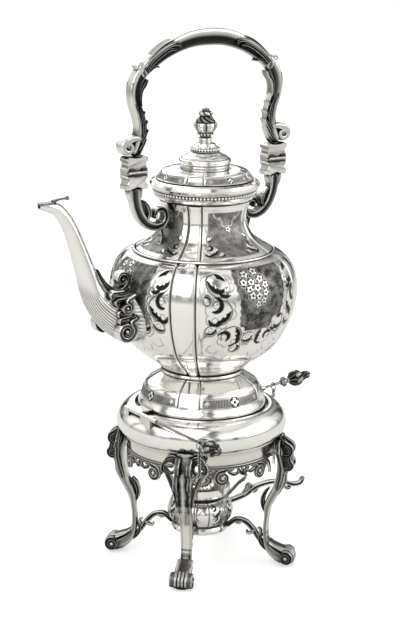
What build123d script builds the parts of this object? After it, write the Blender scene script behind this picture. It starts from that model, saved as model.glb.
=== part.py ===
"""Silver kettle on a four-legged stand with a spirit burner, as separate pieces in millimetres.

The origin is on the kettle's upright axis at table level. +Z is up and the spout points to -X.
"""
import os
from math import ceil, cos, hypot, pi, radians, sin, tan

from build123d import *

# overall sizes
TOTAL_HEIGHT = 460.0
WALL = 1.2
FIT = 0.05
SMALL_GAP = 0.3

# kettle sizes
BOWL_RADIUS = 79.0
BOWL_LEVEL = 243.0
WAIST_RADIUS = 33.5
WAIST_LEVEL = 173.0
SHOULDER_RADIUS = 58.0
SHOULDER_LEVEL = 276.0
NECK_RADIUS = 34.8
NECK_TOP = 318.4
RIM_RADIUS = 43.0
RIM_TOP = 328.2
FOOT_RADIUS = 54.8
FOOT_BOTTOM = 138.2
BEAD_COUNT = 90
BEAD_RADIUS = 1.35
BEAD_LEVEL = 325.8

# lid and finial sizes
LID_RADIUS = 46.0
LID_LEVEL = 328.4
BEZEL_RADIUS = 33.2
LID_BEAD_COUNT = 32
LID_BEAD_RADIUS = 1.1
FINIAL_TOP = 394.0

# spout sizes
SPOUT_WALL = 1.1
MOUTH_X = -157.0
FLAP_PIVOT = (-143.5, 329.4)
MOUTH_CUT = 327.9

# bail handle sizes
SOCKET_X = 69.5
SOCKET_HALF = 10.5
SOCKET_DEPTH = 12.0
SOCKET_BOTTOM = 333.0
BAIL_HINGE = (-7.7, 347.3)
BAIL_PIN_RADIUS = 0.9
BAIL_KNUCKLE_RADIUS = 1.9
BAIL_HALF_WIDTH = 6.2
BAIL_DEPTH = 9.6
BAIL_PEAK = TOTAL_HEIGHT - BAIL_HALF_WIDTH

# stand sizes
SEAT_TOP = FOOT_BOTTOM - SMALL_GAP
LIP_TOP = 142.0
TORUS_RADIUS = 72.6
BAND_RADIUS = 63.2
BAND_BOTTOM = 104.0
WIRE_RADIUS = 0.9
LEG_ANGLES = {"front": 225.0, "right": 315.0, "back": 45.0, "left": 135.0}
APRON_ANGLES = {"near": 270.0, "latch": 0.0, "far": 90.0, "spout": 180.0}
APRON_INNER, APRON_OUTER = 61.7, 64.3
PENDANT_X = 19.0
SOLE_FLAT = (75.5, 82.0)

# pins and hinges
HINGE_X, HINGE_Z = -66.5, 142.9
PIN_RADIUS = 1.2
KNUCKLE_RADIUS = 1.95
KETTLE_KNUCKLE_HALF = 8.0
LATCH_TILT = 6.2
LATCH_X, LATCH_Z = 63.4, 143.2
LATCH_TIP_X = 58.2

# burner sizes
BURNER_RADIUS = 28.6
BURNER_LEVEL = 45.0
COLLAR_RADIUS = 25.6
COLLAR_TOP = 68.0
SNUFFER_RADIUS = 13.5
SNUFFER_TOP = 76.0

# chain sizes
LINK_RADIUS = 1.5
LINK_WIRE = 0.4
LINK_PITCH_MOST = 2.08
RING_RADIUS = 3.4
RING_WIRE = 0.5

pieces = {}


def keep(name, *solids):
    """Store a node as one solid, or as a group of separate like solids."""
    bodies = [body for shape in solids for body in shape.solids()]
    pieces[name] = bodies[0] if len(bodies) == 1 else Compound(children=bodies)


def lathe(points):
    """Turn a closed outline of straight sides, given as radius and height, about the axis."""
    outline = Wire.make_polygon([(r, 0, z) for r, z in points], close=True)
    return revolve(Face(outline), Axis.Z, 360)


def normals(points):
    """Unit normals to the left of an open run of points, from its chords."""
    result = []
    for i in range(len(points)):
        a = points[max(i - 1, 0)]
        b = points[min(i + 1, len(points) - 1)]
        run = hypot(b[0] - a[0], b[1] - a[1])
        result.append((-(b[1] - a[1]) / run, (b[0] - a[0]) / run))
    return result


def offset_points(points, distances):
    """Move each point along its left normal."""
    sides = normals(points)
    return [(p[0] + n[0] * d, p[1] + n[1] * d) for p, n, d in zip(points, sides, distances)]


def spun_shell(points, wall=WALL):
    """A turned sheet wall: a smooth outer curve, its inward offset and two plain edges."""
    inner = offset_points(points, [wall] * len(points))
    outer_3d = [(r, 0, z) for r, z in points]
    inner_3d = [(r, 0, z) for r, z in reversed(inner)]
    outline = Wire([
        Spline(*outer_3d), Line(outer_3d[-1], inner_3d[0]),
        Spline(*inner_3d), Line(inner_3d[-1], outer_3d[0]),
    ])
    return revolve(Face(outline), Axis.Z, 360)


def spun_solid(points):
    """The full solid inside a smooth turned outer curve."""
    curve = [(r, 0, z) for r, z in points]
    low, high = (0, 0, points[0][1]), (0, 0, points[-1][1])
    outline = Wire([Line(low, curve[0]), Spline(*curve), Line(curve[-1], high), Line(high, low)])
    return revolve(Face(outline), Axis.Z, 360)


def ribbon(points, half_widths, thickness):
    """A smooth band of tapering width in the XZ plane, of equal thickness each side of it."""
    left = offset_points(points, half_widths)
    right = offset_points(points, [-w for w in half_widths])
    left_3d = [(x, 0, z) for x, z in left]
    right_3d = [(x, 0, z) for x, z in reversed(right)]
    outline = Wire([
        Spline(*left_3d), Line(left_3d[-1], right_3d[0]),
        Spline(*right_3d), Line(right_3d[-1], left_3d[0]),
    ])
    return extrude(Face(outline), amount=thickness / 2, both=True)


def disc(x, z, radius, thickness):
    """A round boss in the XZ plane."""
    return Pos(x, 0, z) * Rot(90, 0, 0) * Cylinder(radius, thickness)


def volute(x, z, radius, start, sweep, inner_share=0.4, steps=7):
    """Points of a spiral that closes in steadily from its radius as it turns."""
    result = []
    for i in range(steps + 1):
        share = i / steps
        angle = radians(start + sweep * share)
        reach = radius * (1 - (1 - inner_share) * share)
        result.append((x + reach * cos(angle), z + reach * sin(angle)))
    return result


def tube_between(a, b, outer, inner=0.0):
    """A straight rod, or a tube, from one point to another."""
    start, end = Vector(*a), Vector(*b)
    axis = end - start
    plane = Plane(origin=start, z_dir=axis)
    face = Circle(outer) - Circle(inner) if inner > 0 else Circle(outer)
    return extrude(plane * face, amount=axis.length)


# kettle outlines, as radius and height from the bottom up
bowl_outline = [
    (WAIST_RADIUS, WAIST_LEVEL), (39.3, 178.6), (50.0, 186.0), (61.5, 196.5), (70.3, 210.5),
    (76.0, 225.5), (BOWL_RADIUS, BOWL_LEVEL), (77.2, 256.5), (72.4, 266.4),
    (65.4, 273.0), (SHOULDER_RADIUS + 0.4, SHOULDER_LEVEL - 0.6),
]
neck_outline = [
    (SHOULDER_RADIUS - 1.0, SHOULDER_LEVEL + 0.9), (46.9, 283.4), (40.6, 289.0), (36.8, 295.6),
    (NECK_RADIUS, 303.0), (35.6, 310.5), (38.4, NECK_TOP),
]
foot_outline = [
    (54.2, FOOT_BOTTOM), (FOOT_RADIUS, 143.0), (52.6, 148.8), (51.9, 151.5), (49.7, 157.7),
    (47.6, 161.2), (42.6, 164.8), (37.0, 168.2), (34.2, 170.0),
]
bowl_solid = spun_solid(bowl_outline)
neck_solid = spun_solid(neck_outline)
foot_solid = spun_solid(foot_outline)


def latch_axis_point(x):
    """A point on the latch pin's centre line."""
    return (x, 0, LATCH_Z + (x - LATCH_X) * tan(radians(LATCH_TILT)))


def make_kettle_bowl():
    """The raised bowl, closed at the waist and pierced with strainer holes behind the spout."""
    floor = Pos(0, 0, WAIST_LEVEL + 0.8) * Cylinder(WAIST_RADIUS - 0.8, 1.6)
    bowl = spun_shell(bowl_outline) + floor
    hole_radius, ring_radius = 1.6, 7.0
    spots = [(0.0, 0.0)] + [
        (ring_radius * cos(i * pi / 3), ring_radius * sin(i * pi / 3)) for i in range(6)
    ]
    for y, z in spots:
        bowl -= tube_between((-BOWL_RADIUS - 5, y, 232 + z), (-60, y, 232 + z), hole_radius)
    keep("kettle_bowl", bowl)


def make_neck():
    """The waisted neck, its rim moulding, the bead wire under the lid and the shoulder wire."""
    keep("kettle_neck", spun_shell(neck_outline))
    keep("shoulder_wire", Pos(0, 0, SHOULDER_LEVEL + 0.1) * Torus(SHOULDER_RADIUS + 0.9, 1.0)
         - bowl_solid - neck_solid)
    base = NECK_TOP + 0.9
    keep("neck_moulding", lathe([
        (36.6, base), (39.0, base), (41.6, base + 1.6), (42.6, base + 3.4),
        (42.4, BEAD_LEVEL - 1.5), (41.0, BEAD_LEVEL - 1.5), (41.0, BEAD_LEVEL + 1.5),
        (RIM_RADIUS, BEAD_LEVEL + 1.5), (RIM_RADIUS, RIM_TOP), (36.6, RIM_TOP),
    ]))
    beads = []
    for i in range(BEAD_COUNT):
        angle = 2 * pi * i / BEAD_COUNT
        beads.append(Pos(42.4 * cos(angle), 42.4 * sin(angle), BEAD_LEVEL) * Sphere(BEAD_RADIUS))
    keep("neck_beads", *beads)


def make_kettle_foot():
    """The spreading foot with its frieze band, the collar at the waist and the latch pin hole."""
    foot = spun_shell(foot_outline)
    foot -= tube_between(latch_axis_point(46), latch_axis_point(60), PIN_RADIUS + 0.6)
    keep("kettle_foot", foot)
    collar = lathe([
        (30.0, 170.3), (35.0, 170.3), (35.6, 171.6), (34.8, 172.8), (30.0, 172.8),
    ])
    keep("foot_collar", collar)


def make_hinge():
    """Tilting hinge: two tubes on the stand, one on the kettle's foot, and the loose pin."""
    bore = PIN_RADIUS + FIT
    pad_spans = ((9.0, 15.0), (-24.0, -9.0))
    tube_spans = ((8.4, 15.5), (-33.0, -8.4))
    knuckles = []
    for (y0, y1), (p0, p1) in zip(tube_spans, pad_spans):
        tube = tube_between((HINGE_X, y0, HINGE_Z), (HINGE_X, y1, HINGE_Z), KNUCKLE_RADIUS)
        pad = Pos(HINGE_X, (p0 + p1) / 2, 136.5) * Box(2.6, p1 - p0, 10)
        knuckle = tube + pad - ring_solid
        knuckle -= tube_between((HINGE_X, y0 - 1, HINGE_Z), (HINGE_X, y1 + 1, HINGE_Z), bore)
        knuckles.append(max(knuckle.solids(), key=lambda s: s.volume))
    keep("stand_knuckles", *knuckles)

    half = KETTLE_KNUCKLE_HALF
    tube = tube_between((HINGE_X, -half, HINGE_Z), (HINGE_X, half, HINGE_Z), KNUCKLE_RADIUS)
    leaf_z = HINGE_Z + KNUCKLE_RADIUS - 0.65
    leaf = Pos((HINGE_X - FOOT_RADIUS + 2) / 2, 0, leaf_z) * Box(
        HINGE_X * -1 - FOOT_RADIUS + 2, 2 * half - 1, 1.3)
    knuckle = tube + leaf - foot_solid
    knuckle -= tube_between((HINGE_X, -half - 1, HINGE_Z), (HINGE_X, half + 1, HINGE_Z), bore)
    keep("kettle_knuckle", max(knuckle.solids(), key=lambda s: s.volume))


def make_pins():
    """The two loose pins with flower-bud knobs."""
    shaft_end, knob_start = -103.5, -106.0
    shaft = tube_between((HINGE_X, 16.5, HINGE_Z), (HINGE_X, shaft_end, HINGE_Z), PIN_RADIUS)
    collar = tube_between((HINGE_X, shaft_end, HINGE_Z), (HINGE_X, knob_start, HINGE_Z), 3.4)
    keep("hinge_pin", shaft + collar)
    keep("hinge_pin_knob", Pos(HINGE_X, knob_start, HINGE_Z) * Rot(90, 0, 0) * bud(19.0, 6.6))

    tilt = Rot(0, 90 - LATCH_TILT, 0)
    flange_x, latch_knob_x = 83.6, 90.0
    shaft = tube_between(latch_axis_point(LATCH_TIP_X), latch_axis_point(latch_knob_x), PIN_RADIUS)
    flange = Pos(*latch_axis_point(flange_x)) * tilt * lathe([
        (0, 0), (2.2, 0), (4.6, 2.6), (4.6, 3.6), (2.8, 5.4), (0, 5.4)])
    keep("latch_pin", shaft + flange)
    keep("latch_pin_knob", Pos(*latch_axis_point(latch_knob_x)) * tilt * bud(25.5, 6.8))


def bud(length, radius):
    """A turned bud: a thin neck, a full belly, a waist and a small top bead, along +Z."""
    points = [
        (2.0, 0), (2.6, 0.08 * length), (radius, 0.30 * length), (0.94 * radius, 0.50 * length),
        (0.52 * radius, 0.70 * length), (0.50 * radius, 0.80 * length), (0.42 * radius, 0.92 * length),
        (0.9, length),
    ]
    return spun_solid(points)


def make_spout():
    """The swan-neck spout with its mouth, flap hinge ears and the leaf at its root."""
    path = [
        (-62.0, 228.0), (-80.0, 230.0), (-92.0, 235.0), (-102.4, 243.5), (-109.6, 255.0),
        (-114.6, 268.0), (-119.4, 281.0), (-124.6, 295.0), (-130.0, 307.5), (-135.6, 316.6),
        (-142.4, 323.4), (-149.8, 326.2), (MOUTH_X, 327.4),
    ]
    radii = [25.0, 22.0, 16.6, 12.6, 10.2, 8.8, 7.7, 6.7, 6.0, 5.4, 5.0, 4.5, 3.0]
    sides = normals(path)

    def sections(shrink):
        faces = []
        for (x, z), (nx, nz), radius in zip(path, sides, radii):
            plane = Plane(origin=(x, 0, z), x_dir=(0, 1, 0), z_dir=(nz, 0, -nx))
            faces.append(plane * Circle(radius - shrink))
        return faces

    outer = loft(sections(0.0))
    bore = loft(sections(SPOUT_WALL))
    pivot_x, pivot_z = FLAP_PIVOT
    mouth = Pos(pivot_x - 10.2, 0, MOUTH_CUT + 5) * Box(24.0, 12.0, 10.0)
    ears = None
    for y in (-3.4, 3.4):
        ear = Pos(pivot_x, y, pivot_z - 2.4) * Box(3.2, 1.2, 4.8)
        ear += Pos(pivot_x, y, pivot_z) * Rot(90, 0, 0) * Cylinder(1.6, 1.2)
        ears = ear if ears is None else ears + ear
    spout = (outer - mouth) + ears - bore - bowl_solid
    spout -= tube_between((pivot_x, -6, pivot_z), (pivot_x, 6, pivot_z), 0.75)
    keep("spout", max(spout.solids(), key=lambda s: s.volume))
    keep("flap_pin", tube_between((pivot_x, -4.6, pivot_z), (pivot_x, 4.6, pivot_z), 0.7))

    cover_z = MOUTH_CUT + 0.9
    cover = Pos(pivot_x - 7.2, 0, cover_z) * Box(10.2, 7.6, 1.4)
    beak = Pos(pivot_x - 12.0, 0, cover_z) * Cylinder(3.0, 1.4)
    tongue = Pos(pivot_x - 1.6, 0, cover_z) * Box(3.4, 5.0, 1.4)
    barrel = tube_between((pivot_x, -2.65, pivot_z), (pivot_x, 2.65, pivot_z), 1.4)
    tail = ribbon([(pivot_x, pivot_z + 0.7), (pivot_x + 5, pivot_z + 1.7), (-132.0, pivot_z + 1.7)],
                  [0.9, 0.8, 0.8], 2.6)
    knob = Pos(-131.6, 0, pivot_z + 1.9) * Sphere(1.8)
    flap = cover + beak + tongue + barrel + tail + knob
    flap -= tube_between((pivot_x, -4, pivot_z), (pivot_x, 4, pivot_z), 0.75)
    keep("spout_flap", flap)

    crook = [(-103.0, 266.0), (-96.5, 255.8), (-89.5, 250.4), (-82.0, 249.4)]
    crook += volute(-81.6, 259.4, 6.2, -60, 300, 0.4)
    crook_widths = [1.2, 1.8, 2.0, 2.1] + [2.0 - 0.1 * i for i in range(8)]
    leaves = [ribbon(crook, crook_widths, 9.0)]
    for side in (-1, 1):
        lower = volute(-85.4, 221.4, 7.4, 60, -290, 0.4)
        middle = volute(-86.6, 238.6, 5.4, 250, -280, 0.4)
        for run in (lower, middle):
            widths = [1.9 - 0.08 * i for i in range(len(run))]
            leaves.append(Pos(0, side * 16.0, 0) * ribbon(run, widths, 8.0))
    leaf = Compound(children=leaves) - outer - bowl_solid
    keep("spout_leaf", *[s for s in leaf.solids() if s.volume > 20])


def make_brackets():
    """The two C-scroll brackets on the neck that carry the bail, with insulators and hinge pins."""
    path = [
        (69.5, 334.0), (69.2, 325.0), (67.0, 315.6), (62.4, 307.2), (55.6, 301.6), (48.0, 299.8),
        (41.4, 302.0), (38.6, 307.6), (41.0, 313.2), (46.6, 314.4), (50.6, 310.8),
    ]
    widths = [5.0, 4.6, 4.2, 4.0, 3.6, 3.0, 2.6, 2.4, 2.2, 2.0, 1.6]
    scroll = ribbon(path, widths, 10.0) + disc(47.4, 308.4, 3.4, 11.0)
    tie = ribbon([(46.0, 308.4), (40.0, 304.0), (33.0, 302.0)], [2.0, 2.0, 2.0], 7.0)
    strut = ribbon([(45.5, 300.6), (43.6, 292.0), (43.4, 282.0)], [1.8, 1.6, 2.2], 6.0)
    half = SOCKET_HALF
    socket_side = [
        (-half, 0), (half, 0), (half, 3.6), (half - 1.6, 5.0), (half - 1.6, 8.4), (half, 9.6),
        (half, 12.0), (-half, 12.0), (-half, 9.6), (1.6 - half, 8.4), (1.6 - half, 5.0),
        (-half, 3.6),
    ]
    hinge_y, hinge_z = BAIL_HINGE
    insulators, pins = [], []
    for name, turn in (("rear", 0), ("front", 180)):
        face = Face(Wire.make_polygon(
            [(SOCKET_X + x, 0, SOCKET_BOTTOM + z) for x, z in socket_side], close=True))
        socket = extrude(face, amount=SOCKET_DEPTH / 2, both=True)
        bracket = Rot(0, 0, turn) * (scroll + tie + strut + socket)
        side = 1 if turn == 0 else -1
        x_mid = side * SOCKET_X
        knuckle = tube_between((x_mid - 3, hinge_y, hinge_z), (x_mid + 3, hinge_y, hinge_z),
                               BAIL_KNUCKLE_RADIUS)
        web = Pos(x_mid, -6.4, SOCKET_BOTTOM + 12.2) * Box(6, 2.0, 3.6)
        bracket = bracket + knuckle + web - neck_solid - bowl_solid
        bracket -= tube_between((x_mid - 5, hinge_y, hinge_z), (x_mid + 5, hinge_y, hinge_z),
                                BAIL_PIN_RADIUS + FIT)
        keep("bracket_" + name, max(bracket.solids(), key=lambda s: s.volume))
        insulators.append(Pos(x_mid, 0.6, SOCKET_BOTTOM + 13.1) * Box(19.0, 10.4, 2.0))
        pins.append(tube_between((x_mid - 8.4, hinge_y, hinge_z), (x_mid + 8.4, hinge_y, hinge_z),
                                 BAIL_PIN_RADIUS))
    keep("insulators", *insulators)
    keep("bail_pins", *pins)


def make_bail():
    """The swing handle: an arched grip between two scrolled shoulders on hinge sockets."""
    half_arch = [(16.0, 452.4), (30.0, 448.6), (40.0, 444.2), (50.0, 438.4), (60.0, 430.4)]
    arch = [(-x, z) for x, z in reversed(half_arch)] + [(0.0, BAIL_PEAK)] + half_arch
    half_widths = [5.8, 5.2, 5.0, 5.0, 5.0]
    widths = list(reversed(half_widths)) + [BAIL_HALF_WIDTH] + half_widths
    keep("bail_grip", ribbon(arch, widths, BAIL_DEPTH))

    arm_path = [
        (70.6, 360.0), (66.0, 369.0), (63.6, 379.0), (65.4, 391.0), (69.0, 401.0), (70.4, 410.0),
        (68.2, 419.6), (62.6, 427.8),
    ]
    arm = ribbon(arm_path, [5.0, 5.2, 5.2, 5.0, 4.9, 4.9, 5.0, 5.2], BAIL_DEPTH)
    knob = disc(71.0, 432.4, 3.5, 8.0)
    knob += ribbon([(62.0, 426.0), (66.6, 429.6), (71.0, 432.4)], [3.4, 3.0, 2.4], 7.0)
    scroll_path = [(68.0, 371.0), (72.4, 373.0)] + volute(77.6, 367.0, 5.6, 95, -330, 0.3)
    scroll = ribbon(scroll_path, [1.4, 1.8] + [2.0 - 0.1 * i for i in range(8)], 8.0)
    scroll += disc(77.6, 367.0, 2.0, 8.6)
    leaf = ribbon([(62.0, 372.0), (57.6, 381.0), (57.6, 390.0)], [2.6, 2.2, 0.8], 6.0)
    lift = BAIL_HINGE[1] + 0.3
    half = SOCKET_HALF
    socket_side = [
        (-half, 0), (half, 0), (half, 2.6), (half - 1.6, 3.8), (half - 1.6, 7.6), (half, 8.8),
        (half, 11.4), (half - 2.0, 13.4), (2.0 - half, 13.4), (-half, 11.4), (-half, 8.8),
        (1.6 - half, 7.6), (1.6 - half, 3.8), (-half, 2.6),
    ]
    hinge_y, hinge_z = BAIL_HINGE
    for name, turn in (("rear", 0), ("front", 180)):
        face = Face(Wire.make_polygon(
            [(SOCKET_X + x, 0, lift + z) for x, z in socket_side], close=True))
        socket = extrude(face, amount=SOCKET_DEPTH / 2, both=True)
        shoulder = Rot(0, 0, turn) * (arm + knob + scroll + leaf + socket)
        x_mid = SOCKET_X if turn == 0 else -SOCKET_X
        for x0, x1 in ((x_mid - 8.0, x_mid - 3.2), (x_mid + 3.2, x_mid + 8.0)):
            shoulder += tube_between((x0, hinge_y, hinge_z), (x1, hinge_y, hinge_z),
                                     BAIL_KNUCKLE_RADIUS)
            shoulder += Pos((x0 + x1) / 2, -6.6, lift + 1.4) * Box(x1 - x0, 2.2, 2.8)
        shoulder -= tube_between((x_mid - 10, hinge_y, hinge_z), (x_mid + 10, hinge_y, hinge_z),
                                 BAIL_PIN_RADIUS + FIT)
        shoulder -= tube_between((x_mid - 3.2, hinge_y, hinge_z), (x_mid + 3.2, hinge_y, hinge_z),
                                 BAIL_KNUCKLE_RADIUS + SMALL_GAP)
        shoulder -= pieces["bail_grip"]
        keep("bail_shoulder_" + name, max(shoulder.solids(), key=lambda s: s.volume))


def make_lid():
    """The stepped lid: rim, frieze shell, bezel, dome, bead ring, cup and bud finial on a stud."""
    keep("lid_rim", lathe([
        (38.4, LID_LEVEL), (43.6, LID_LEVEL), (45.2, LID_LEVEL + 0.8), (LID_RADIUS, LID_LEVEL + 2.2),
        (LID_RADIUS, LID_LEVEL + 3.6), (44.6, LID_LEVEL + 5.8), (42.0, LID_LEVEL + 7.0),
        (38.4, LID_LEVEL + 7.0),
    ]))
    keep("lid_bezel", lathe([
        (BEZEL_RADIUS - 1.0, 312.0), (BEZEL_RADIUS, 312.0), (BEZEL_RADIUS, LID_LEVEL + 1.0),
        (38.3, LID_LEVEL + 1.0), (38.3, LID_LEVEL + 2.2), (BEZEL_RADIUS - 1.0, LID_LEVEL + 2.2),
    ]))
    keep("lid_shell", spun_shell(
        [(40.6, 336.3), (38.3, 338.9), (35.5, 342.4), (31.0, 343.4), (26.0, 343.7), (20.2, 343.9)]))
    keep("lid_dome", spun_shell(
        [(20.4, 344.2), (20.1, 346.6), (21.4, 350.8), (18.4, 354.2), (14.6, 356.0), (11.6, 358.2)]))
    keep("finial_cup", lathe([
        (2.6, 358.6), (12.2, 358.6), (12.2, 359.0), (10.9, 359.3), (10.9, 361.6), (9.6, 362.6),
        (8.4, 364.6), (5.3, 365.4), (5.0, 367.6), (6.2, 369.4), (2.6, 369.4),
    ]))
    beads = []
    for i in range(LID_BEAD_COUNT):
        angle = 2 * pi * i / LID_BEAD_COUNT
        beads.append(Pos(12.05 * cos(angle), 12.05 * sin(angle), 360.4) * Sphere(LID_BEAD_RADIUS))
    keep("lid_beads", *beads)
    finial = spun_solid([
        (6.9, 370.0), (7.0, 372.0), (9.3, 379.6), (7.6, 385.0), (5.4, 388.4), (5.2, 391.0),
        (3.4, 393.0), (1.0, FINIAL_TOP),
    ])
    keep("finial", finial - Pos(0, 0, 372) * Cylinder(2.5, 8.0))
    stud = Pos(0, 0, 364.0) * Cylinder(2.4, 22.0) + Pos(0, 0, 351.6) * Cylinder(4.6, 3.2)
    keep("finial_stud", stud)


ring_outline_outer = [
    (58.6, 141.9), (62.3, 141.6), (67.5, 138.2), (71.0, 133.6), (TORUS_RADIUS, 127.0),
    (71.6, 121.4), (68.2, 117.2),
]
ring_solid = spun_solid(list(reversed(ring_outline_outer)))


def make_ring():
    """The stand's hollow ring with its seat and lip, the band below and the wire between them."""
    torus = spun_shell(list(reversed(ring_outline_outer)), 1.4)
    lip = lathe([
        (50.0, SEAT_TOP - 1.4), (58.6, SEAT_TOP - 1.4), (58.6, LIP_TOP), (57.2, LIP_TOP),
        (57.2, SEAT_TOP), (50.0, SEAT_TOP),
    ])
    ring = torus + lip
    ring -= tube_between(latch_axis_point(48), latch_axis_point(67), PIN_RADIUS + 0.6)
    keep("stand_ring", max(ring.solids(), key=lambda s: s.volume))
    keep("stand_band", lathe([
        (65.2, 115.6), (64.6, 112.6), (63.9, 108.6), (BAND_RADIUS, BAND_BOTTOM),
        (BAND_RADIUS - 1.4, BAND_BOTTOM), (62.5, 108.6), (63.0, 114.6), (64.2, 116.4),
    ]))
    keep("band_wire", Pos(0, 0, 116.0) * Torus(66.4, WIRE_RADIUS))
    sleeve = tube_between(latch_axis_point(59.8), latch_axis_point(65.6), 2.4)
    sleeve = sleeve - ring_solid
    sleeve -= Pos(0, 0, LIP_TOP - 4.9) * Cylinder(60.0, 10.0)
    sleeve -= tube_between(latch_axis_point(56), latch_axis_point(69), PIN_RADIUS + FIT)
    keep("latch_guide", max(sleeve.solids(), key=lambda s: s.volume))


def leg_shape():
    """A cabriole leg pointing to +X: side outline crossed with a front outline, and two scrolls."""
    outer = [
        (71.4, 108.6), (72.6, 105.4), (76.2, 104.4), (79.4, 100.8), (80.2, 95.4), (78.2, 88.8),
        (75.4, 82.6), (75.4, 75.0), (71.6, 68.0), (67.2, 60.0), (62.8, 51.6), (60.6, 43.0),
        (59.8, 35.0), (59.9, 28.0), (61.4, 21.4), (64.6, 16.6), (69.0, 13.6),
    ]
    toe = [(69.0, 13.6), (74.6, 12.6), (79.8, 13.2), (84.0, 10.6), (85.2, 6.2), (84.4, 2.6),
           (SOLE_FLAT[1], 0.0)]
    sole = [(SOLE_FLAT[1], 0.0), (SOLE_FLAT[0], 0.0)]
    inner = [
        (SOLE_FLAT[0], 0.0), (67.6, 3.0), (60.6, 9.4), (57.0, 17.0), (56.0, 27.0), (56.2, 36.0),
        (56.8, 43.0), (55.8, 50.0), (56.2, 57.0), (60.0, 62.4), (63.6, 70.0), (66.0, 80.0),
        (67.0, 92.0), (64.8, 102.0),
    ]
    top = [(64.8, 102.0), (64.8, 113.0), (70.2, 113.8), (71.4, 108.6)]

    def flat(points):
        return [(r, 0, z) for r, z in points]

    top_lines = [Line(*pair) for pair in zip(flat(top), flat(top)[1:])]
    side_wire = Wire([
        Spline(*flat(outer)), Spline(*flat(toe)), Line(*flat(sole)), Spline(*flat(inner)),
    ] + top_lines)
    side = extrude(Face(side_wire), amount=25.0, both=True)
    edge = [
        (6.8, 115.0), (5.0, 108.0), (5.6, 101.0), (7.4, 94.0), (7.8, 84.0), (6.8, 72.0),
        (5.6, 58.0), (4.8, 44.0), (4.6, 30.0), (5.2, 20.0), (7.4, 13.0), (8.0, 7.0), (7.6, -1.0),
    ]
    right = [(60.0, y, z) for y, z in edge]
    left = [(60.0, -y, z) for y, z in reversed(edge)]
    front_wire = Wire([Spline(*right), Line(right[-1], left[0]), Spline(*left),
                       Line(left[-1], right[0])])
    front = extrude(Face(front_wire), amount=45.0, both=True, dir=(1, 0, 0))
    leg = side & front
    for hand in (-1, 1):
        rib = ribbon([(19.6, 107.6), (15.6, 101.0), (11.4, 92.6), (7.8, 82.6), (5.4, 72.0)],
                     [1.6, 1.9, 2.0, 2.0, 1.6], 5.7)
        curl = ribbon([(18.6, 104.4), (15.0, 109.6), (9.6, 107.4), (6.0, 99.6), (4.6, 91.0)],
                      [1.8, 1.6, 1.6, 1.8, 2.0], 5.7)
        cap = ribbon([(17.6, 106.6), (13.0, 112.6), (7.6, 112.4), (3.4, 106.4)],
                     [1.2, 1.6, 1.8, 1.6], 5.7)
        wing = rib + curl + cap
        leg += Pos(69.6, 0, 0) * Rot(0, 0, 90) * (wing if hand == 1 else mirror(wing, Plane.YZ))
    return leg


def make_legs():
    """Four cast legs and the four scroll stretchers that run from them to the burner's tray."""
    leg = leg_shape()
    stretcher_path = [
        (55.4, 17.6), (51.0, 23.4), (46.4, 30.4), (39.6, 36.2), (32.4, 37.2), (27.0, 33.6),
        (23.6, 30.0),
    ]
    bar = ribbon(stretcher_path, [2.0, 1.9, 2.2, 2.1, 2.0, 2.0, 1.8], 4.6)
    curl = ribbon([(47.6, 29.0), (44.4, 26.6), (41.4, 28.4)], [1.6, 1.5, 1.2], 4.0)
    bud_leaf = ribbon([(50.6, 24.0), (53.2, 28.0), (51.4, 31.0)], [1.6, 1.5, 1.2], 4.0)
    bar = bar + curl + bud_leaf - leg - tray_solid()
    bar = max(bar.solids(), key=lambda s: s.volume)
    for name, angle in LEG_ANGLES.items():
        keep("leg_" + name, Rot(0, 0, angle) * leg)
        keep("stretcher_" + name, Rot(0, 0, angle) * bar)


def tray_solid():
    """The ring that holds the burner."""
    return lathe([
        (19.8, 28.2), (23.8, 28.2), (25.2, 29.8), (25.2, 32.0), (24.0, 33.8), (23.0, 33.8)])


def make_aprons():
    """Four pierced scroll aprons under the band, each a flat design wrapped on the band's curve."""
    shell = Pos(0, 0, 92.0) * (Cylinder(APRON_OUTER, 40.0) - Cylinder(APRON_INNER, 40.0))
    rail = Pos(0, 0, 102.35) * Box(77.0, 44.0, 3.3)
    design = rail + disc(0, 99.3, 4.6, 44.0)
    for hand in (-1, 1):
        pendant = volute(PENDANT_X, 93.4, 6.2, 105, -400, 0.35)
        widths = [2.0, 2.1, 2.0, 1.9, 1.8, 1.6, 1.5, 1.4]
        drop = ribbon(pendant, widths, 44.0) + disc(PENDANT_X, 93.4, 2.4, 44.0)
        swag = ribbon([(3.0, 98.0), (7.8, 95.6), (13.0, 97.6), (17.0, 101.0)],
                      [1.4, 1.6, 1.6, 1.6], 44.0)
        brace = ribbon([(26.0, 101.6), (31.6, 99.0), (36.4, 93.0), (38.6, 86.0)],
                       [1.4, 1.6, 1.8, 1.4], 44.0)
        half = drop + swag + brace
        design += half if hand == 1 else mirror(half, Plane.YZ)
    design = Pos(0, -44.0, 0) * design
    for name, angle in APRON_ANGLES.items():
        apron = Rot(0, 0, angle + 90) * (design & shell)
        keep("apron_" + name, max(apron.solids(), key=lambda s: s.volume))


reservoir_outline = [
    (17.0, 29.4), (22.4, 34.0), (27.0, 39.2), (BURNER_RADIUS, BURNER_LEVEL), (27.2, 51.6),
    (23.2, 56.6), (19.4, 58.6), (19.0, 60.4),
]


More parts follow.
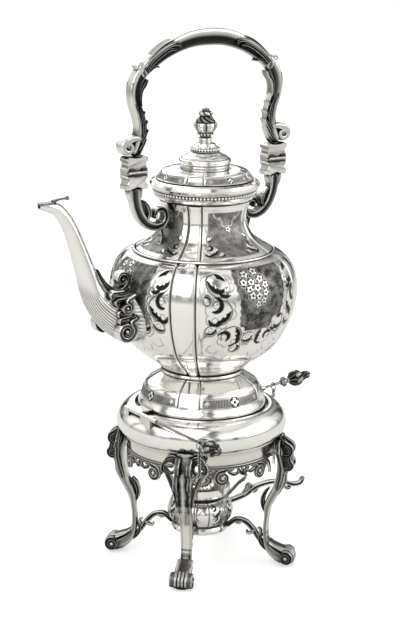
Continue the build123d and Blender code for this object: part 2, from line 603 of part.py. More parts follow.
def make_burner():
    """Spirit burner: reservoir, gallery collar, wick in its tube, snuffer cap and long handle."""
    keep("burner_tray", tray_solid())
    shell = spun_shell(reservoir_outline, 1.0)
    shell += Pos(0, 0, 29.9) * Cylinder(17.0, 1.0)
    keep("burner_reservoir", shell)
    keep("burner_collar", lathe([
        (5.7, 60.6), (24.0, 60.6), (COLLAR_RADIUS, 62.6), (COLLAR_RADIUS, COLLAR_TOP),
        (COLLAR_RADIUS - 1.2, COLLAR_TOP), (COLLAR_RADIUS - 1.2, 62.9), (23.4, 61.8), (5.7, 61.8),
    ]))
    keep("wick_tube", lathe([(4.4, 50.0), (5.5, 50.0), (5.5, 66.0), (4.4, 66.0)]))
    keep("wick", Pos(0, 0, 53.5) * Cylinder(4.2, 29.0))
    keep("snuffer", spun_shell([
        (SNUFFER_RADIUS, 62.2), (13.2, 67.0), (10.6, 71.4), (6.0, 74.2), (1.4, 75.2),
    ], 1.0) + Pos(0, 0, 75.4) * Sphere(2.2))

    arm_path = [
        (26.0, 45.6), (38.0, 46.4), (48.0, 48.6), (57.0, 52.8), (66.0, 54.4), (78.0, 54.4),
        (90.9, 51.6), (101.0, 47.8), (107.6, 48.2), (111.0, 52.0),
    ]
    arm = ribbon(arm_path, [2.4, 2.2, 2.2, 2.2, 2.0, 1.9, 1.8, 1.8, 1.8, 2.0], 4.6)
    thumb = ribbon([(44.0, 47.6), (49.0, 52.6), (53.6, 56.6)], [1.8, 1.8, 1.6], 4.0)
    curl = ribbon([(86.0, 52.6), (91.0, 46.4), (95.4, 44.4)], [1.6, 1.6, 1.2], 4.0)
    handle = arm + thumb + curl - spun_solid(reservoir_outline)
    keep("burner_handle", max(handle.solids(), key=lambda s: s.volume))


def chain_links(route, reference):
    """Round links spaced evenly along a route, each turned a quarter against the last.

    The reference direction lies in the first link's plane. The last link serves as the eye.
    """
    stops = [Vector(*p) for p in route]
    lengths = [(b - a).length for a, b in zip(stops, stops[1:])]
    count = ceil(sum(lengths) / LINK_PITCH_MOST)
    pitch = sum(lengths) / count
    links = []
    for i in range(count + 1):
        leg, along_leg = 0, i * pitch
        while leg < len(lengths) - 1 and along_leg > lengths[leg]:
            along_leg -= lengths[leg]
            leg += 1
        along = (stops[leg + 1] - stops[leg]).normalized()
        spot = stops[leg] + along * along_leg
        across = along.cross(Vector(*reference)).normalized()
        normal = across if i % 2 == 0 else along.cross(across)
        links.append(Plane(origin=spot, z_dir=normal) * Torus(LINK_RADIUS, LINK_WIRE))
    return links


def chain_eye(link, spot, foot):
    """A link held by a short stalk that is soldered at its foot."""
    centre, base = Vector(*spot), Vector(*foot)
    near = centre + (base - centre).normalized() * LINK_RADIUS
    return link + tube_between(tuple(base), tuple(near), 0.55)


def make_chains():
    """Fine chains that keep the two pins and the burner with the stand, and their end eyes."""
    sag = RING_RADIUS - PIN_RADIUS - RING_WIRE - 0.25
    hang = RING_RADIUS - RING_WIRE - 0.2 + LINK_RADIUS - LINK_WIRE
    ring_y, latch_ring_x = -97.0, 76.0

    pin_ring = Pos(HINGE_X, ring_y, HINGE_Z - sag) * Rot(90, 0, 0) * Torus(RING_RADIUS, RING_WIRE)
    leg_out = Vector(-cos(pi / 4), -sin(pi / 4), 0)
    leg_side = Vector(cos(pi / 4), -sin(pi / 4), 0)
    eye_spot = leg_out * 75.4 + leg_side * 15.4 + Vector(0, 0, 101.0)
    eye_foot = leg_out * 72.45 + leg_side * 15.4 + Vector(0, 0, 101.0)
    links = chain_links([
        (HINGE_X, ring_y, HINGE_Z - sag - hang), (-65.0, -94.0, 124.0), (-60.0, -87.0, 114.0),
        (-54.0, -76.0, 106.0), tuple(eye_spot)], (0, 1, 0))
    keep("hinge_pin_chain", pin_ring, *links[:-1])
    eyes = [chain_eye(links[-1], eye_spot, eye_foot)]

    centre = latch_axis_point(latch_ring_x)
    latch_ring = Pos(centre[0], 0, centre[2] - sag) * Rot(0, 90, 0) * Torus(RING_RADIUS, RING_WIRE)
    latch_eye = (68.2, 0, 109.6)
    links = chain_links([
        (latch_ring_x, 0, centre[2] - sag - hang), (latch_ring_x, 0, 121.0), (74.4, 0, 114.0),
        latch_eye], (1, 0, 0))
    keep("latch_pin_chain", latch_ring, *links[:-1])
    eyes.append(chain_eye(links[-1], latch_eye, (64.15, 0, 109.6)))

    apron_eye = (0, -67.4, 98.6)
    links = chain_links([
        (8.6, -29.0, 64.6), (5.6, -40.0, 72.6), (2.4, -54.0, 84.0), (0.6, -64.0, 90.6),
        (0, -67.0, 94.0), apron_eye], (1, 0, 0))
    keep("burner_chain", *links[:-1])
    eyes.append(chain_eye(links[-1], apron_eye, (0, -64.4, 98.6)))
    keep("chain_eyes", *eyes)


make_kettle_bowl()
make_neck()
make_kettle_foot()
make_hinge()
make_pins()
make_spout()
make_brackets()
make_bail()
make_lid()
make_ring()
make_legs()
make_aprons()
make_burner()
make_chains()

os.makedirs("parts", exist_ok=True)
for node, shape in pieces.items():
    export_step(shape, "parts/" + node + ".step")
print(len(pieces), "nodes written")
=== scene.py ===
"""Silver hot-water kettle on its four-legged stand with a spirit burner, dressed for the camera.

Shapes are worked out in millimetres and written to the meshes in metres.
"""
from math import cos, pi, radians, sin

import bpy
import numpy as np
from mathutils import Matrix, Vector


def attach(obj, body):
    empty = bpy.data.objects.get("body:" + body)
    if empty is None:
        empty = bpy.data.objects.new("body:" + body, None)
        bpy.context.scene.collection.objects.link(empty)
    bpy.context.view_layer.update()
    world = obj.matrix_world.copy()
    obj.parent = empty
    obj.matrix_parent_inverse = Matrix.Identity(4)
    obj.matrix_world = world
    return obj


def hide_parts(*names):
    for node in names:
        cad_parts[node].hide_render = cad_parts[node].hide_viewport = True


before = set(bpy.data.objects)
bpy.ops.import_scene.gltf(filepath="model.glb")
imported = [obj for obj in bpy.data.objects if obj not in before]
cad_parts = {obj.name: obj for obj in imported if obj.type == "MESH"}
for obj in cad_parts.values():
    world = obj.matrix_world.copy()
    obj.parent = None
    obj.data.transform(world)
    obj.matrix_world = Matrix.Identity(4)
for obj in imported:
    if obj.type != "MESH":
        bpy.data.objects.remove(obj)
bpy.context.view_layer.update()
MM = 0.001


# The camera stands in front of the kettle, a little above the lid, with a long lens.
# It is turned so that the spout points to the left and away from the camera's side.
CAMERA_REACH, CAMERA_HEIGHT, CAMERA_AZIMUTH = 1550.0, 620.0, 34.0
CAMERA_PITCH, CAMERA_ROLL, CAMERA_STEP_LEFT = 14.47, 0.8, 2.46
LENS_MM = 108.98

azimuth, pitch, roll = radians(CAMERA_AZIMUTH), radians(CAMERA_PITCH), radians(CAMERA_ROLL)
right = Vector((cos(azimuth), -sin(azimuth), 0))
ahead = Vector((sin(azimuth) * cos(pitch), cos(azimuth) * cos(pitch), -sin(pitch)))
above = right.cross(ahead)
camera_x = right * cos(roll) + above * sin(roll)
camera_y = above * cos(roll) - right * sin(roll)
stand_point = Vector((-sin(azimuth), -cos(azimuth), 0)) * CAMERA_REACH - right * CAMERA_STEP_LEFT
stand_point.z = CAMERA_HEIGHT
camera_data = bpy.data.cameras.new("camera")
camera_data.lens = LENS_MM
camera_data.clip_start, camera_data.clip_end = 0.05, 30.0
camera = bpy.data.objects.new("camera", camera_data)
bpy.context.scene.collection.objects.link(camera)
turn = Matrix((camera_x, camera_y, -ahead)).transposed().to_4x4()
camera.matrix_world = Matrix.Translation(stand_point * MM) @ turn
bpy.context.scene.camera = camera
bpy.context.scene.view_settings.view_transform = "Standard"


# The studio is a white sweep with a large soft lamp on the left, a smaller one on the right and one
# behind. Bright walls with a few grey bands give the polished metal something to mirror.
def new_material(name):
    """An empty node material and its tree."""
    material = bpy.data.materials.new(name)
    material.use_nodes = True
    tree = material.node_tree
    tree.nodes.clear()
    return material, tree


def add_node(tree, kind, links=None, **settings):
    """Add a node with its own settings. Links go to its input sockets, as sockets or as plain values."""
    node = tree.nodes.new(kind)
    for key, value in settings.items():
        setattr(node, key, value)
    for socket, source in (links or {}).items():
        if isinstance(source, bpy.types.NodeSocket):
            tree.links.new(source, node.inputs[socket])
        else:
            node.inputs[socket].default_value = source
    return node


def maths(tree, operation, *values, clamp=False):
    """One Math node over numbers or sockets."""
    return add_node(tree, "ShaderNodeMath", dict(enumerate(values)), operation=operation,
                    use_clamp=clamp).outputs[0]


def ranged(tree, source, low, high, to_low, to_high):
    """Map a socket from one range to another, held at both ends."""
    return add_node(tree, "ShaderNodeMapRange",
                    {0: source, 1: low, 2: high, 3: to_low, 4: to_high}).outputs[0]


def noise(tree, place, scale, detail):
    """Soft noise over a place."""
    return add_node(tree, "ShaderNodeTexNoise",
                    {"Vector": place, "Scale": scale, "Detail": detail}).outputs[0]


def shader_mix(tree, share, first, second):
    """A shader between two, by a share."""
    return add_node(tree, "ShaderNodeMixShader", {0: share, 1: first, 2: second}).outputs[0]


WALL_STOPS = [(0.0, 0.6), (0.42, 0.7), (0.5, 0.5), (0.55, 0.75), (0.63, 1.1), (0.80, 1.1), (0.9, 0.7),
              (1.0, 1.0)]
FLOOR_REACH, FLOOR_GLOW, AIM_HEIGHT = 6.0, 0.50, 0.22
LAMPS = [
    ("lamp_left", (-1.5, -0.7, 1.5), 2.2, 22.0), ("lamp_right", (1.3, -1.2, 1.0), 1.5, 9.0),
    ("lamp_back", (0.4, 1.6, 1.4), 1.8, 12.0),
]


def studio():
    """World, floor and lamps."""
    world = bpy.data.worlds.new("studio")
    world.use_nodes = True
    bpy.context.scene.world = world
    tree = world.node_tree
    tree.nodes.clear()
    direction = add_node(tree, "ShaderNodeTexCoord").outputs["Generated"]
    height = add_node(tree, "ShaderNodeSeparateXYZ", {0: direction}).outputs[2]
    walls = add_node(tree, "ShaderNodeValToRGB", {0: maths(tree, "MULTIPLY_ADD", height, 0.5, 0.5)})
    ramp = walls.color_ramp
    for place, grey in WALL_STOPS[1:-1]:
        ramp.elements.new(place)
    for element, (place, grey) in zip(ramp.elements, WALL_STOPS):
        element.position = place
        element.color = (grey, grey * 0.995, grey * 0.98, 1)
    upright = add_node(tree, "ShaderNodeMapping", {"Vector": direction, "Scale": (1.0, 1.0, 0.25)})
    patch = ranged(tree, noise(tree, upright.outputs[0], 3.1, 1.5), 0.38, 0.50, 0.22, 1.0)
    away = add_node(tree, "ShaderNodeVectorMath", {0: direction, 1: (sin(azimuth), cos(azimuth), 0.0)},
                    operation="DOT_PRODUCT")
    rear_wall = ranged(tree, away.outputs["Value"], 0.45, 0.9, 1.0, 0.28)
    mirrored = add_node(tree, "ShaderNodeVectorMath",
                        {0: walls.outputs[0], "Scale": maths(tree, "MULTIPLY", patch, rear_wall)},
                        operation="SCALE")
    seen_directly = add_node(tree, "ShaderNodeLightPath").outputs["Is Camera Ray"]
    room = add_node(tree, "ShaderNodeBackground", {0: mirrored.outputs[0], 1: 1.0})
    white = add_node(tree, "ShaderNodeBackground", {0: (1, 1, 1, 1), 1: 1.0})
    seen = shader_mix(tree, seen_directly, room.outputs[0], white.outputs[0])
    add_node(tree, "ShaderNodeOutputWorld", {0: seen})

    mesh = bpy.data.meshes.new("floor")
    corners = [(x * FLOOR_REACH, y * FLOOR_REACH, 0) for x, y in ((-1, -1), (1, -1), (1, 1), (-1, 1))]
    mesh.from_pydata(corners, [], [(0, 1, 2, 3)])
    floor = bpy.data.objects.new("floor", mesh)
    bpy.context.scene.collection.objects.link(floor)
    paper, tree = new_material("white_paper")
    seen_directly = add_node(tree, "ShaderNodeLightPath").outputs["Is Camera Ray"]
    shade = add_node(tree, "ShaderNodeBsdfDiffuse", {0: (0.72, 0.72, 0.72, 1)})
    glow = add_node(tree, "ShaderNodeEmission", {0: (1, 1, 1, 1), 1: FLOOR_GLOW})
    lit = add_node(tree, "ShaderNodeAddShader", {0: shade.outputs[0], 1: glow.outputs[0]})
    plain = add_node(tree, "ShaderNodeBsdfDiffuse", {0: (0.72, 0.72, 0.70, 1)})
    both = shader_mix(tree, seen_directly, plain.outputs[0], lit.outputs[0])
    add_node(tree, "ShaderNodeOutputMaterial", {0: both})
    mesh.materials.append(paper)

    for name, place, size, power in LAMPS:
        data = bpy.data.lights.new(name, "AREA")
        data.shape, data.size, data.energy = "SQUARE", size, power
        lamp = bpy.data.objects.new(name, data)
        bpy.context.scene.collection.objects.link(lamp)
        aim = Vector((0, 0, AIM_HEIGHT)) - Vector(place)
        lamp.matrix_world = Matrix.Translation(place) @ aim.to_track_quat("-Z", "Y").to_matrix().to_4x4()


studio()


# The kettle's bowl is raised from sheet silver, divided by four narrow plain lobes into four wide
# panels. Each panel is chased with scrolls round a dark punched ground with a spray of daisies.
BOWL_OUTLINE = [
    (33.5, 173.0), (39.3, 178.6), (50.0, 186.0), (61.5, 196.5), (70.3, 210.5), (76.0, 225.5),
    (79.0, 243.0), (77.2, 256.5), (72.4, 266.4), (65.4, 273.0), (58.4, 275.4),
]
SHEET_WALL = 1.2
# The dark colour is both the oxide in recesses and painted shade in corners, on flanks, in creases and
# slots.
BRIGHT_SILVER, WARM_SILVER, OXIDE_AND_SHADE = (0.93, 0.92, 0.90), (0.86, 0.84, 0.78), (0.022, 0.021, 0.022)
LOBE_TURN = -1.3
PANEL_SIDES = {"near": 270.0, "latch": 0.0, "far": 90.0, "spout": 180.0}
PANEL_TURNS = {"near": 1.8, "latch": 0.0, "far": 0.0, "spout": -1.5}
BOWL_LOBE_HALF = 7.6
GROOVE_WIDTH, GROOVE_DEPTH = 0.75, 0.95
DOT_SCALE, MOTTLE_SCALE, CLOUD_SCALE, SCRATCH_SCALE = 1100.0, 150.0, 28.0, 900.0


def mixed(tree, share, first, second):
    """A colour between two, by a share."""
    return add_node(tree, "ShaderNodeMix", {0: share, 6: first, 7: second}, data_type="RGBA").outputs[2]


def surface(tree, colour, rough, metallic, strength, depth, height):
    """Finish a material: colour, roughness and a bump of a height socket."""
    bump = add_node(tree, "ShaderNodeBump", {"Strength": strength, "Distance": depth, "Height": height})
    shader = add_node(tree, "ShaderNodeBsdfPrincipled", {
        "Base Color": colour, "Metallic": metallic, "Roughness": rough, "Normal": bump.outputs[0]})
    add_node(tree, "ShaderNodeOutputMaterial", {0: shader.outputs[0]})


def silver(name, bright=BRIGHT_SILVER, polish=0.11, shade_depth=0.004, dark=1.0):
    """Polished silver: dark oxide lies in chased recesses and in the punched ground, and tight corners
    darken towards the same colour by ambient occlusion, partly for oxide and partly as painted shade.

    One attribute marks oxide in the recesses together with painted shade on cast flanks, turned
    creases and slots; the stipple attribute marks the punched ground.
    """
    material, tree = new_material(name)
    place = add_node(tree, "ShaderNodeTexCoord").outputs["Object"]
    tarnish_and_shade = add_node(tree, "ShaderNodeAttribute", attribute_name="tarnish_and_shade").outputs["Fac"]
    ground = add_node(tree, "ShaderNodeAttribute", attribute_name="stipple").outputs["Fac"]
    # Painted shade: ambient occlusion darkens tight corners towards the dark colour, partly for the oxide
    # that lies there.
    corner = add_node(tree, "ShaderNodeAmbientOcclusion", {"Distance": shade_depth}, samples=6)
    corner_oxide_and_shade = maths(tree, "MULTIPLY", maths(tree, "SUBTRACT", 1.0, corner.outputs["AO"]), 1.25 * dark,
                   clamp=True)
    cells = add_node(tree, "ShaderNodeTexVoronoi", {"Vector": place, "Scale": DOT_SCALE})
    dots = cells.outputs["Distance"]
    dot_shade = ranged(tree, dots, 0.15, 0.6, 0.80, 1.0)
    mottle_shade = ranged(tree, noise(tree, place, MOTTLE_SCALE, 3.0), 0.38, 0.62, 0.80, 1.02)
    matted = maths(tree, "MULTIPLY", ground, maths(tree, "MULTIPLY", dot_shade, mottle_shade))
    darkness = maths(tree, "MAXIMUM", maths(tree, "MAXIMUM", tarnish_and_shade, corner_oxide_and_shade), matted, clamp=True)
    cloud = noise(tree, place, CLOUD_SCALE, 4.0)
    clean = mixed(tree, ranged(tree, cloud, 0.4, 0.75, 0.0, 0.55), (*bright, 1), (*WARM_SILVER, 1))
    colour = mixed(tree, darkness, clean, (*OXIDE_AND_SHADE, 1))
    worn = ranged(tree, cloud, 0.3, 0.8, polish * 0.7, polish * 1.5)
    rough = maths(tree, "MULTIPLY_ADD", darkness, 0.35, worn, clamp=True)
    scratches = maths(tree, "MULTIPLY", noise(tree, place, SCRATCH_SCALE, 2.0), 0.12)
    dents = maths(tree, "MULTIPLY_ADD", maths(tree, "MULTIPLY", ground, dots), 4.0, scratches)
    surface(tree, colour, rough, 1.0, 0.35, 0.0002, dents)
    return material


def run_length(points):
    """Length along a run of points, from 0 at its start."""
    return np.concatenate([[0.0], np.cumsum(np.linalg.norm(np.diff(points, axis=0), axis=1))])


def smooth_run(points, count):
    """Points spread evenly along a smooth curve through the given ones.

    Each stretch is a Hermite cubic over its chord, with slopes taken from the neighbouring points.
    """
    given = np.asarray(points, float)
    reach = run_length(given)
    slope = np.gradient(given, reach, axis=0)

    def at(q):
        i = np.clip(np.searchsorted(reach, q, side="right") - 1, 0, len(given) - 2)
        chord = (reach[i + 1] - reach[i])[:, None]
        s = ((q - reach[i]) / (reach[i + 1] - reach[i]))[:, None]
        return ((1 + 2 * s) * (1 - s) ** 2 * given[i] + s * (1 - s) ** 2 * chord * slope[i]
                + s ** 2 * (3 - 2 * s) * given[i + 1] + s ** 2 * (s - 1) * chord * slope[i + 1])

    trial = np.linspace(0, reach[-1], 24 * len(given))
    length = run_length(at(trial))
    return at(np.interp(np.linspace(0, length[-1], count), length, trial))


def grid_faces(rows, columns, close_columns=False, start=0):
    """The four-sided faces of a grid of points that is kept row by row."""
    i = np.arange(rows - 1)[:, None]
    j = np.arange(columns if close_columns else columns - 1)[None, :]
    near, far = i * columns, (i + 1) * columns
    after = (j + 1) % columns
    return (np.stack([near + j, near + after, far + after, far + j], -1).reshape(-1, 4) + start).tolist()


def tube_faces(rows, around):
    """The faces of a tube that is kept ring by ring, with both of its ends closed."""
    ends = [list(range(around))[::-1], list(range((rows - 1) * around, rows * around))]
    return grid_faces(rows, around, close_columns=True) + ends


def part(points, faces, tarnish_and_shade=0.0, stipple=0.0):
    """One closed surface with its marks, turned so that its faces point outwards.

    The signed volume is the sum of the corner triangles' volumes seen from the origin.
    """
    points = np.asarray(points, float).reshape(-1, 3)
    fans = np.array([(f[0], f[k], f[k + 1]) for f in faces for k in range(1, len(f) - 1)])
    a, b, c = points[fans[:, 0]], points[fans[:, 1]], points[fans[:, 2]]
    if np.einsum("ij,ij->i", a, np.cross(b, c)).sum() < 0:
        faces = [f[::-1] for f in faces]
    marks = [np.broadcast_to(np.ravel(mark), (len(points),)) for mark in (tarnish_and_shade, stipple)]
    return (points, faces, *marks)


SHARP_ANGLE = 38.0


def add_piece(name, parts, body, material, nodes=()):
    """Join closed surfaces into one mesh object that rides on a body and stands for its nodes."""
    starts = np.cumsum([0] + [len(p[0]) for p in parts])
    mesh = bpy.data.meshes.new(name)
    faces = [[int(i) + int(start) for i in f] for p, start in zip(parts, starts) for f in p[1]]
    mesh.from_pydata(np.concatenate([p[0] for p in parts]) * MM, [], faces)
    for mark, index in (("tarnish_and_shade", 2), ("stipple", 3)):
        values = np.concatenate([p[index] for p in parts]).astype(np.float32)
        mesh.attributes.new(mark, "FLOAT", "POINT").data.foreach_set("value", values)
    mesh.polygons.foreach_set("use_smooth", np.ones(len(mesh.polygons), bool))
    mesh.set_sharp_from_angle(angle=radians(SHARP_ANGLE))
    mesh.materials.append(material)
    piece = bpy.data.objects.new(name, mesh)
    bpy.context.scene.collection.objects.link(piece)
    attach(piece, body)
    if nodes:
        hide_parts(*nodes)
    return piece


def soft_step(low, high, value):
    """0 at low, 1 at high, with a cubic between them. Low may be above high."""
    s = np.clip((value - low) / (high - low), 0, 1)
    return s * s * (3 - 2 * s)


def squared(wave, power):
    """A wave from -1 to 1 with its shoulders pushed out, so that a circle becomes a soft square."""
    return np.sign(wave) * np.abs(wave) ** power


def line_at(value, at, width):
    """A soft line: 1 where the value is at its place and falling to 0 a width away."""
    return np.exp(-((value - at) / width) ** 2)


INNER_STEP = 4


def spun_sheet(outline, start, end, columns, rows, relief, wall=SHEET_WALL, spacing=None):
    """A turned sheet with relief outside and a plain wall inside, closed at its edges.

    Outer point = smooth outline turned about the axis, moved along its outward normal by the relief.
    The relief reads the angle, the height, the length along the outline and the radius.
    """
    whole = end - start >= 360
    run = smooth_run(outline, 400)
    length = run_length(run)
    share = np.linspace(0, 1, rows) if spacing is None else spacing
    along = share * length[-1]
    r = np.interp(along, length, run[:, 0])
    z = np.interp(along, length, run[:, 1])
    slope = np.gradient(np.stack([r, z], -1), along, axis=0)
    slope /= np.linalg.norm(slope, axis=1)[:, None]
    angle = np.linspace(start, end, columns + 1)
    angle = angle[:-1] if whole else angle
    angles, rs = np.meshgrid(angle, r)
    zs, lengths = np.repeat(z[:, None], len(angle), 1), np.repeat(along[:, None], len(angle), 1)
    height, tarnish_and_shade, stipple = relief(angles, zs, lengths, rs)

    def turned(radius, level, degrees):
        t = np.radians(degrees)
        return np.stack([radius * np.cos(t), radius * np.sin(t), level], -1).reshape(-1, 3)

    outer = turned(rs + height * slope[:, 1:2], zs - height * slope[:, 0:1], angles)
    pick = np.unique(np.append(np.arange(0, rows, INNER_STEP), rows - 1))
    turn_pick = np.arange(0, len(angle), INNER_STEP)
    if not whole:
        turn_pick = np.unique(np.append(turn_pick, len(angle) - 1))
    inner_r = (r - wall * slope[:, 1])[pick]
    inner_z = (z + wall * slope[:, 0])[pick]
    inner_angle, inner_rs = np.meshgrid(angle[turn_pick], inner_r)
    inner = turned(inner_rs, np.repeat(inner_z[:, None], len(turn_pick), 1), inner_angle)
    points = np.concatenate([outer, inner])
    wide, base, inner_wide = len(angle), len(outer), len(turn_pick)
    faces = grid_faces(rows, wide, close_columns=whole)
    faces += [f[::-1] for f in grid_faces(len(pick), inner_wide, close_columns=whole, start=base)]

    def bridge(outer_ids, inner_ids, flip):
        """Faces between a fine edge and the coarse edge below it."""
        made = []
        for k in range(len(inner_ids) - 1):
            fine = outer_ids[k * INNER_STEP:(k + 1) * INNER_STEP + 1]
            if k == len(inner_ids) - 2:
                fine = outer_ids[k * INNER_STEP:]
            face = list(fine) + [inner_ids[k + 1], inner_ids[k]]
            made.append(face[::-1] if flip else face)
        return made

    for row, inner_row, flip in ((0, 0, True), (rows - 1, len(pick) - 1, False)):
        fine = [row * wide + k for k in range(wide)]
        coarse = [base + inner_row * inner_wide + k for k in range(inner_wide)]
        if whole:
            fine.append(fine[0])
            coarse.append(coarse[0])
        faces += bridge(fine, coarse, not flip)
    if not whole:
        for column, inner_column, flip in ((0, 0, False), (wide - 1, inner_wide - 1, True)):
            fine = [k * wide + column for k in range(rows)]
            coarse = [base + k * inner_wide + inner_column for k in range(len(pick))]
            faces += bridge(fine, coarse, not flip)
    marks = [np.concatenate([m.ravel(), np.zeros(len(inner))]) for m in (tarnish_and_shade, stipple)]
    return part(points, faces, *marks)


def comma(u, v, at_u, at_v, inner, outer, start, end, teeth):
    """A dark crescent round a point, tapered over its turn and scalloped on its inner side."""
    reach = np.hypot(u - at_u, v - at_v)
    bearing = np.mod(np.degrees(np.arctan2(v - at_v, u - at_u)) - start, 360)
    share = bearing / (end - start)
    swell = np.clip(4 * share * (1 - share), 0, 1) ** 0.5
    edge = outer - (outer - inner) * swell + teeth * np.abs(np.sin(np.radians(bearing * 3.3))) * swell
    return soft_step(edge - 0.03, edge + 0.03, reach) * soft_step(outer + 0.03, outer - 0.03, reach) * (
        swell > 0.03)


# Each kind is the turn in degrees that its outline is drawn over, its balls as place and size, and its
# dark crescents as place, inner and outer reach, start and end in degrees, and teeth.
SCROLL_KINDS = {
    "crest": ((95, 330), [(0.72, -0.40, 0.22)],
              [(-0.05, 0.12, 0.22, 0.84, 158, 325, 0.20), (-0.1, 0.2, 0.30, 0.90, 12, 88, 0.16),
               (0.46, -0.46, 0.26, 0.62, 190, 322, 0.0)]),
    "spiral": ((-85, 150), [(-0.40, 0.60, 0.23), (-0.46, -0.62, 0.22)],
               [(-0.40, 0.60, 0.25, 0.66, -130, 108, 0.0), (0.0, 0.0, 0.28, 0.89, -120, 10, 0.24),
                (-0.36, -0.52, 0.26, 0.68, 178, 352, 0.08)]),
    "curl": ((20, 320), [(0.10, 0.25, 0.30)], [(0.05, 0.10, 0.32, 0.90, 168, 350, 0.12)]),
}


def chased_scroll(x, y, wide, tall, kind, hand, turned=0.0):
    """Height and darkness of one chased scroll. Hand mirrors it and turned is in degrees."""
    u, v = hand * x / wide, y / tall
    lean = radians(turned)
    u, v = u * cos(lean) + v * sin(lean), v * cos(lean) - u * sin(lean)
    outline, balls, commas = SCROLL_KINDS[kind]
    reach = np.hypot(u, v)
    bearing = np.mod(np.degrees(np.arctan2(v, u)) - outline[0], 360)
    drawn = soft_step(outline[1] - outline[0] + 12, outline[1] - outline[0] - 12, bearing)
    edge = line_at(reach, 0.98, 0.58 / wide) * drawn
    body = soft_step(1.04, 0.96, reach)
    marks, rings, knobs = np.zeros_like(u), np.zeros_like(u), np.zeros_like(u)
    for shape in commas:
        marks = np.maximum(marks, comma(u, v, *shape))
    for at_u, at_v, size in balls:
        away = np.hypot(u - at_u, v - at_v) / size
        marks = marks * soft_step(0.95, 1.15, away)
        rings = np.maximum(rings * soft_step(0.9, 1.1, away), line_at(away, 1.12, 0.14))
        knobs = np.maximum(knobs, np.sqrt(np.clip(1 - away ** 2, 0, 1)))
        body = np.maximum(body, soft_step(1.4, 1.2, away))
    dark = np.clip(np.maximum.reduce([marks, 0.97 * edge, 0.85 * rings]), 0, 1)
    height = body * 0.12 * (1 - reach ** 2) + 0.30 * knobs - 0.25 * marks - 0.1 * edge
    return height, dark, body


def leaf_fringe(x, y, wide, tall, middle, half, lobes):
    """A scalloped leaf edge that hugs the outside of a scroll over part of its turn."""
    u, v = x / wide, y / tall
    reach = np.hypot(u, v)
    bearing = np.mod(np.degrees(np.arctan2(v, u)) - middle + 180, 360) - 180
    share = np.clip(1 - (bearing / half) ** 2, 0, 1) ** 0.5
    edge = 1.04 + share * (0.12 + 0.26 * np.abs(np.sin(np.radians(bearing) * lobes)))
    inside = soft_step(edge + 0.02, edge - 0.06, reach) * soft_step(0.98, 1.03, reach) * (share > 0)
    line = line_at(reach, edge, 0.36 / wide) * (share > 0.15)
    vein = line_at(np.sin(np.radians(bearing) * lobes), 0.0, 0.10) * inside * 0.5
    return 0.12 * inside - 0.1 * line - 0.05 * vein, np.maximum(0.9 * line, vein), inside


def daisy(x, y, radius, petals=7, turned=0.0):
    """A small flower: a ring of round raised petals with dark gaps round a dark eye."""
    reach, bearing = np.hypot(x, y) / radius, np.degrees(np.arctan2(y, x)) + np.degrees(turned)
    pitch = 360.0 / petals
    off = np.radians(np.mod(bearing + pitch / 2, pitch) - pitch / 2) * reach
    away = np.hypot((reach - 0.64) / 0.36, off / (1.9 / petals))
    petal = soft_step(1.05, 0.75, away)
    gap = soft_step(1.35, 1.1, reach) * (1 - petal)
    return 0.3 * petal, gap, soft_step(1.35, 1.15, reach)


def overlay(drawn, mark, gain=1.0, clearing=1.0):
    """Lay one mark over what is drawn: it clears what lies inside it and adds its own height.

    Drawn is height, darkness and stipple. A mark is height, darkness and its inside.
    """
    height, dark, stipple = drawn
    lift, shade, inside = mark
    return (height * (1 - inside) + gain * lift, np.maximum(dark * (1 - inside), shade),
            stipple * (1 - clearing * inside))


bowl_run = smooth_run(BOWL_OUTLINE, 400)
bowl_length = run_length(bowl_run)


def bowl_along(level):
    """Length along the bowl's outline at a height."""
    return np.interp(level, bowl_run[:, 1], bowl_length)


# A scroll is its place across and up, half width, half height, kind, hand and lean. A daisy is its
# place and radius, and a leaf its place, half width and half height.
BOWL_SCROLLS = [
    (-35.2, 261.6, 9.4, 10.0, "crest", 1, 0), (-34.6, 239.6, 9.6, 10.8, "spiral", 1, 0),
    (-22.6, 219.0, 8.8, 8.8, "spiral", 1, 62), (-7.4, 215.6, 5.2, 5.8, "curl", 1, 30),
    (7.6, 216.2, 7.6, 7.0, "spiral", -1, 62), (23.6, 224.4, 7.0, 8.4, "crest", -1, 30),
    (41.0, 262.4, 8.4, 10.6, "crest", -1, 0), (41.0, 240.6, 8.6, 11.0, "spiral", -1, 0),
]
BOWL_CURLS = [(-40.6, 223.6, 5.0, 5.0, "curl", 1, 40), (-46.0, 250.0, 3.4, 4.4, "curl", 1, 150),
              (38.6, 224.4, 5.6, 5.6, "curl", -1, 40), (-16.4, 206.8, 4.6, 4.2, "curl", 1, 90)]
BOWL_DAISIES = [(-10.6, 268.6, 3.1), (-13.4, 262.6, 3.0), (-6.4, 262.4, 3.1), (-1.4, 270.0, 3.2),
                (2.6, 264.2, 3.2), (6.8, 259.2, 3.0), (-1.4, 257.6, 3.3), (-8.8, 256.8, 3.0),
                (6.6, 253.0, 2.8), (-6.6, 251.6, 3.0), (-0.4, 250.6, 3.0), (4.0, 247.0, 2.6),
                (-1.6, 244.6, 2.4)]
GROUND_LEVELS = (221.0, 224.0, 230.0, 240.0, 250.0, 258.0, 266.0, 273.4)
GROUND_LEFT = (-10.0, -16.0, -18.0, -18.5, -19.0, -21.0, -22.0, -20.0)
GROUND_RIGHT = (6.0, 16.0, 24.0, 28.0, 30.0, 31.0, 31.0, 29.0)
BOWL_LEAVES = [(-33.6, 207.6, 4.6, 4.0), (-25.6, 201.0, 4.6, 4.0), (-10.6, 198.0, 4.6, 3.6),
               (4.6, 200.6, 4.6, 3.8), (17.4, 205.0, 4.4, 3.8), (30.6, 211.0, 4.6, 4.4)]


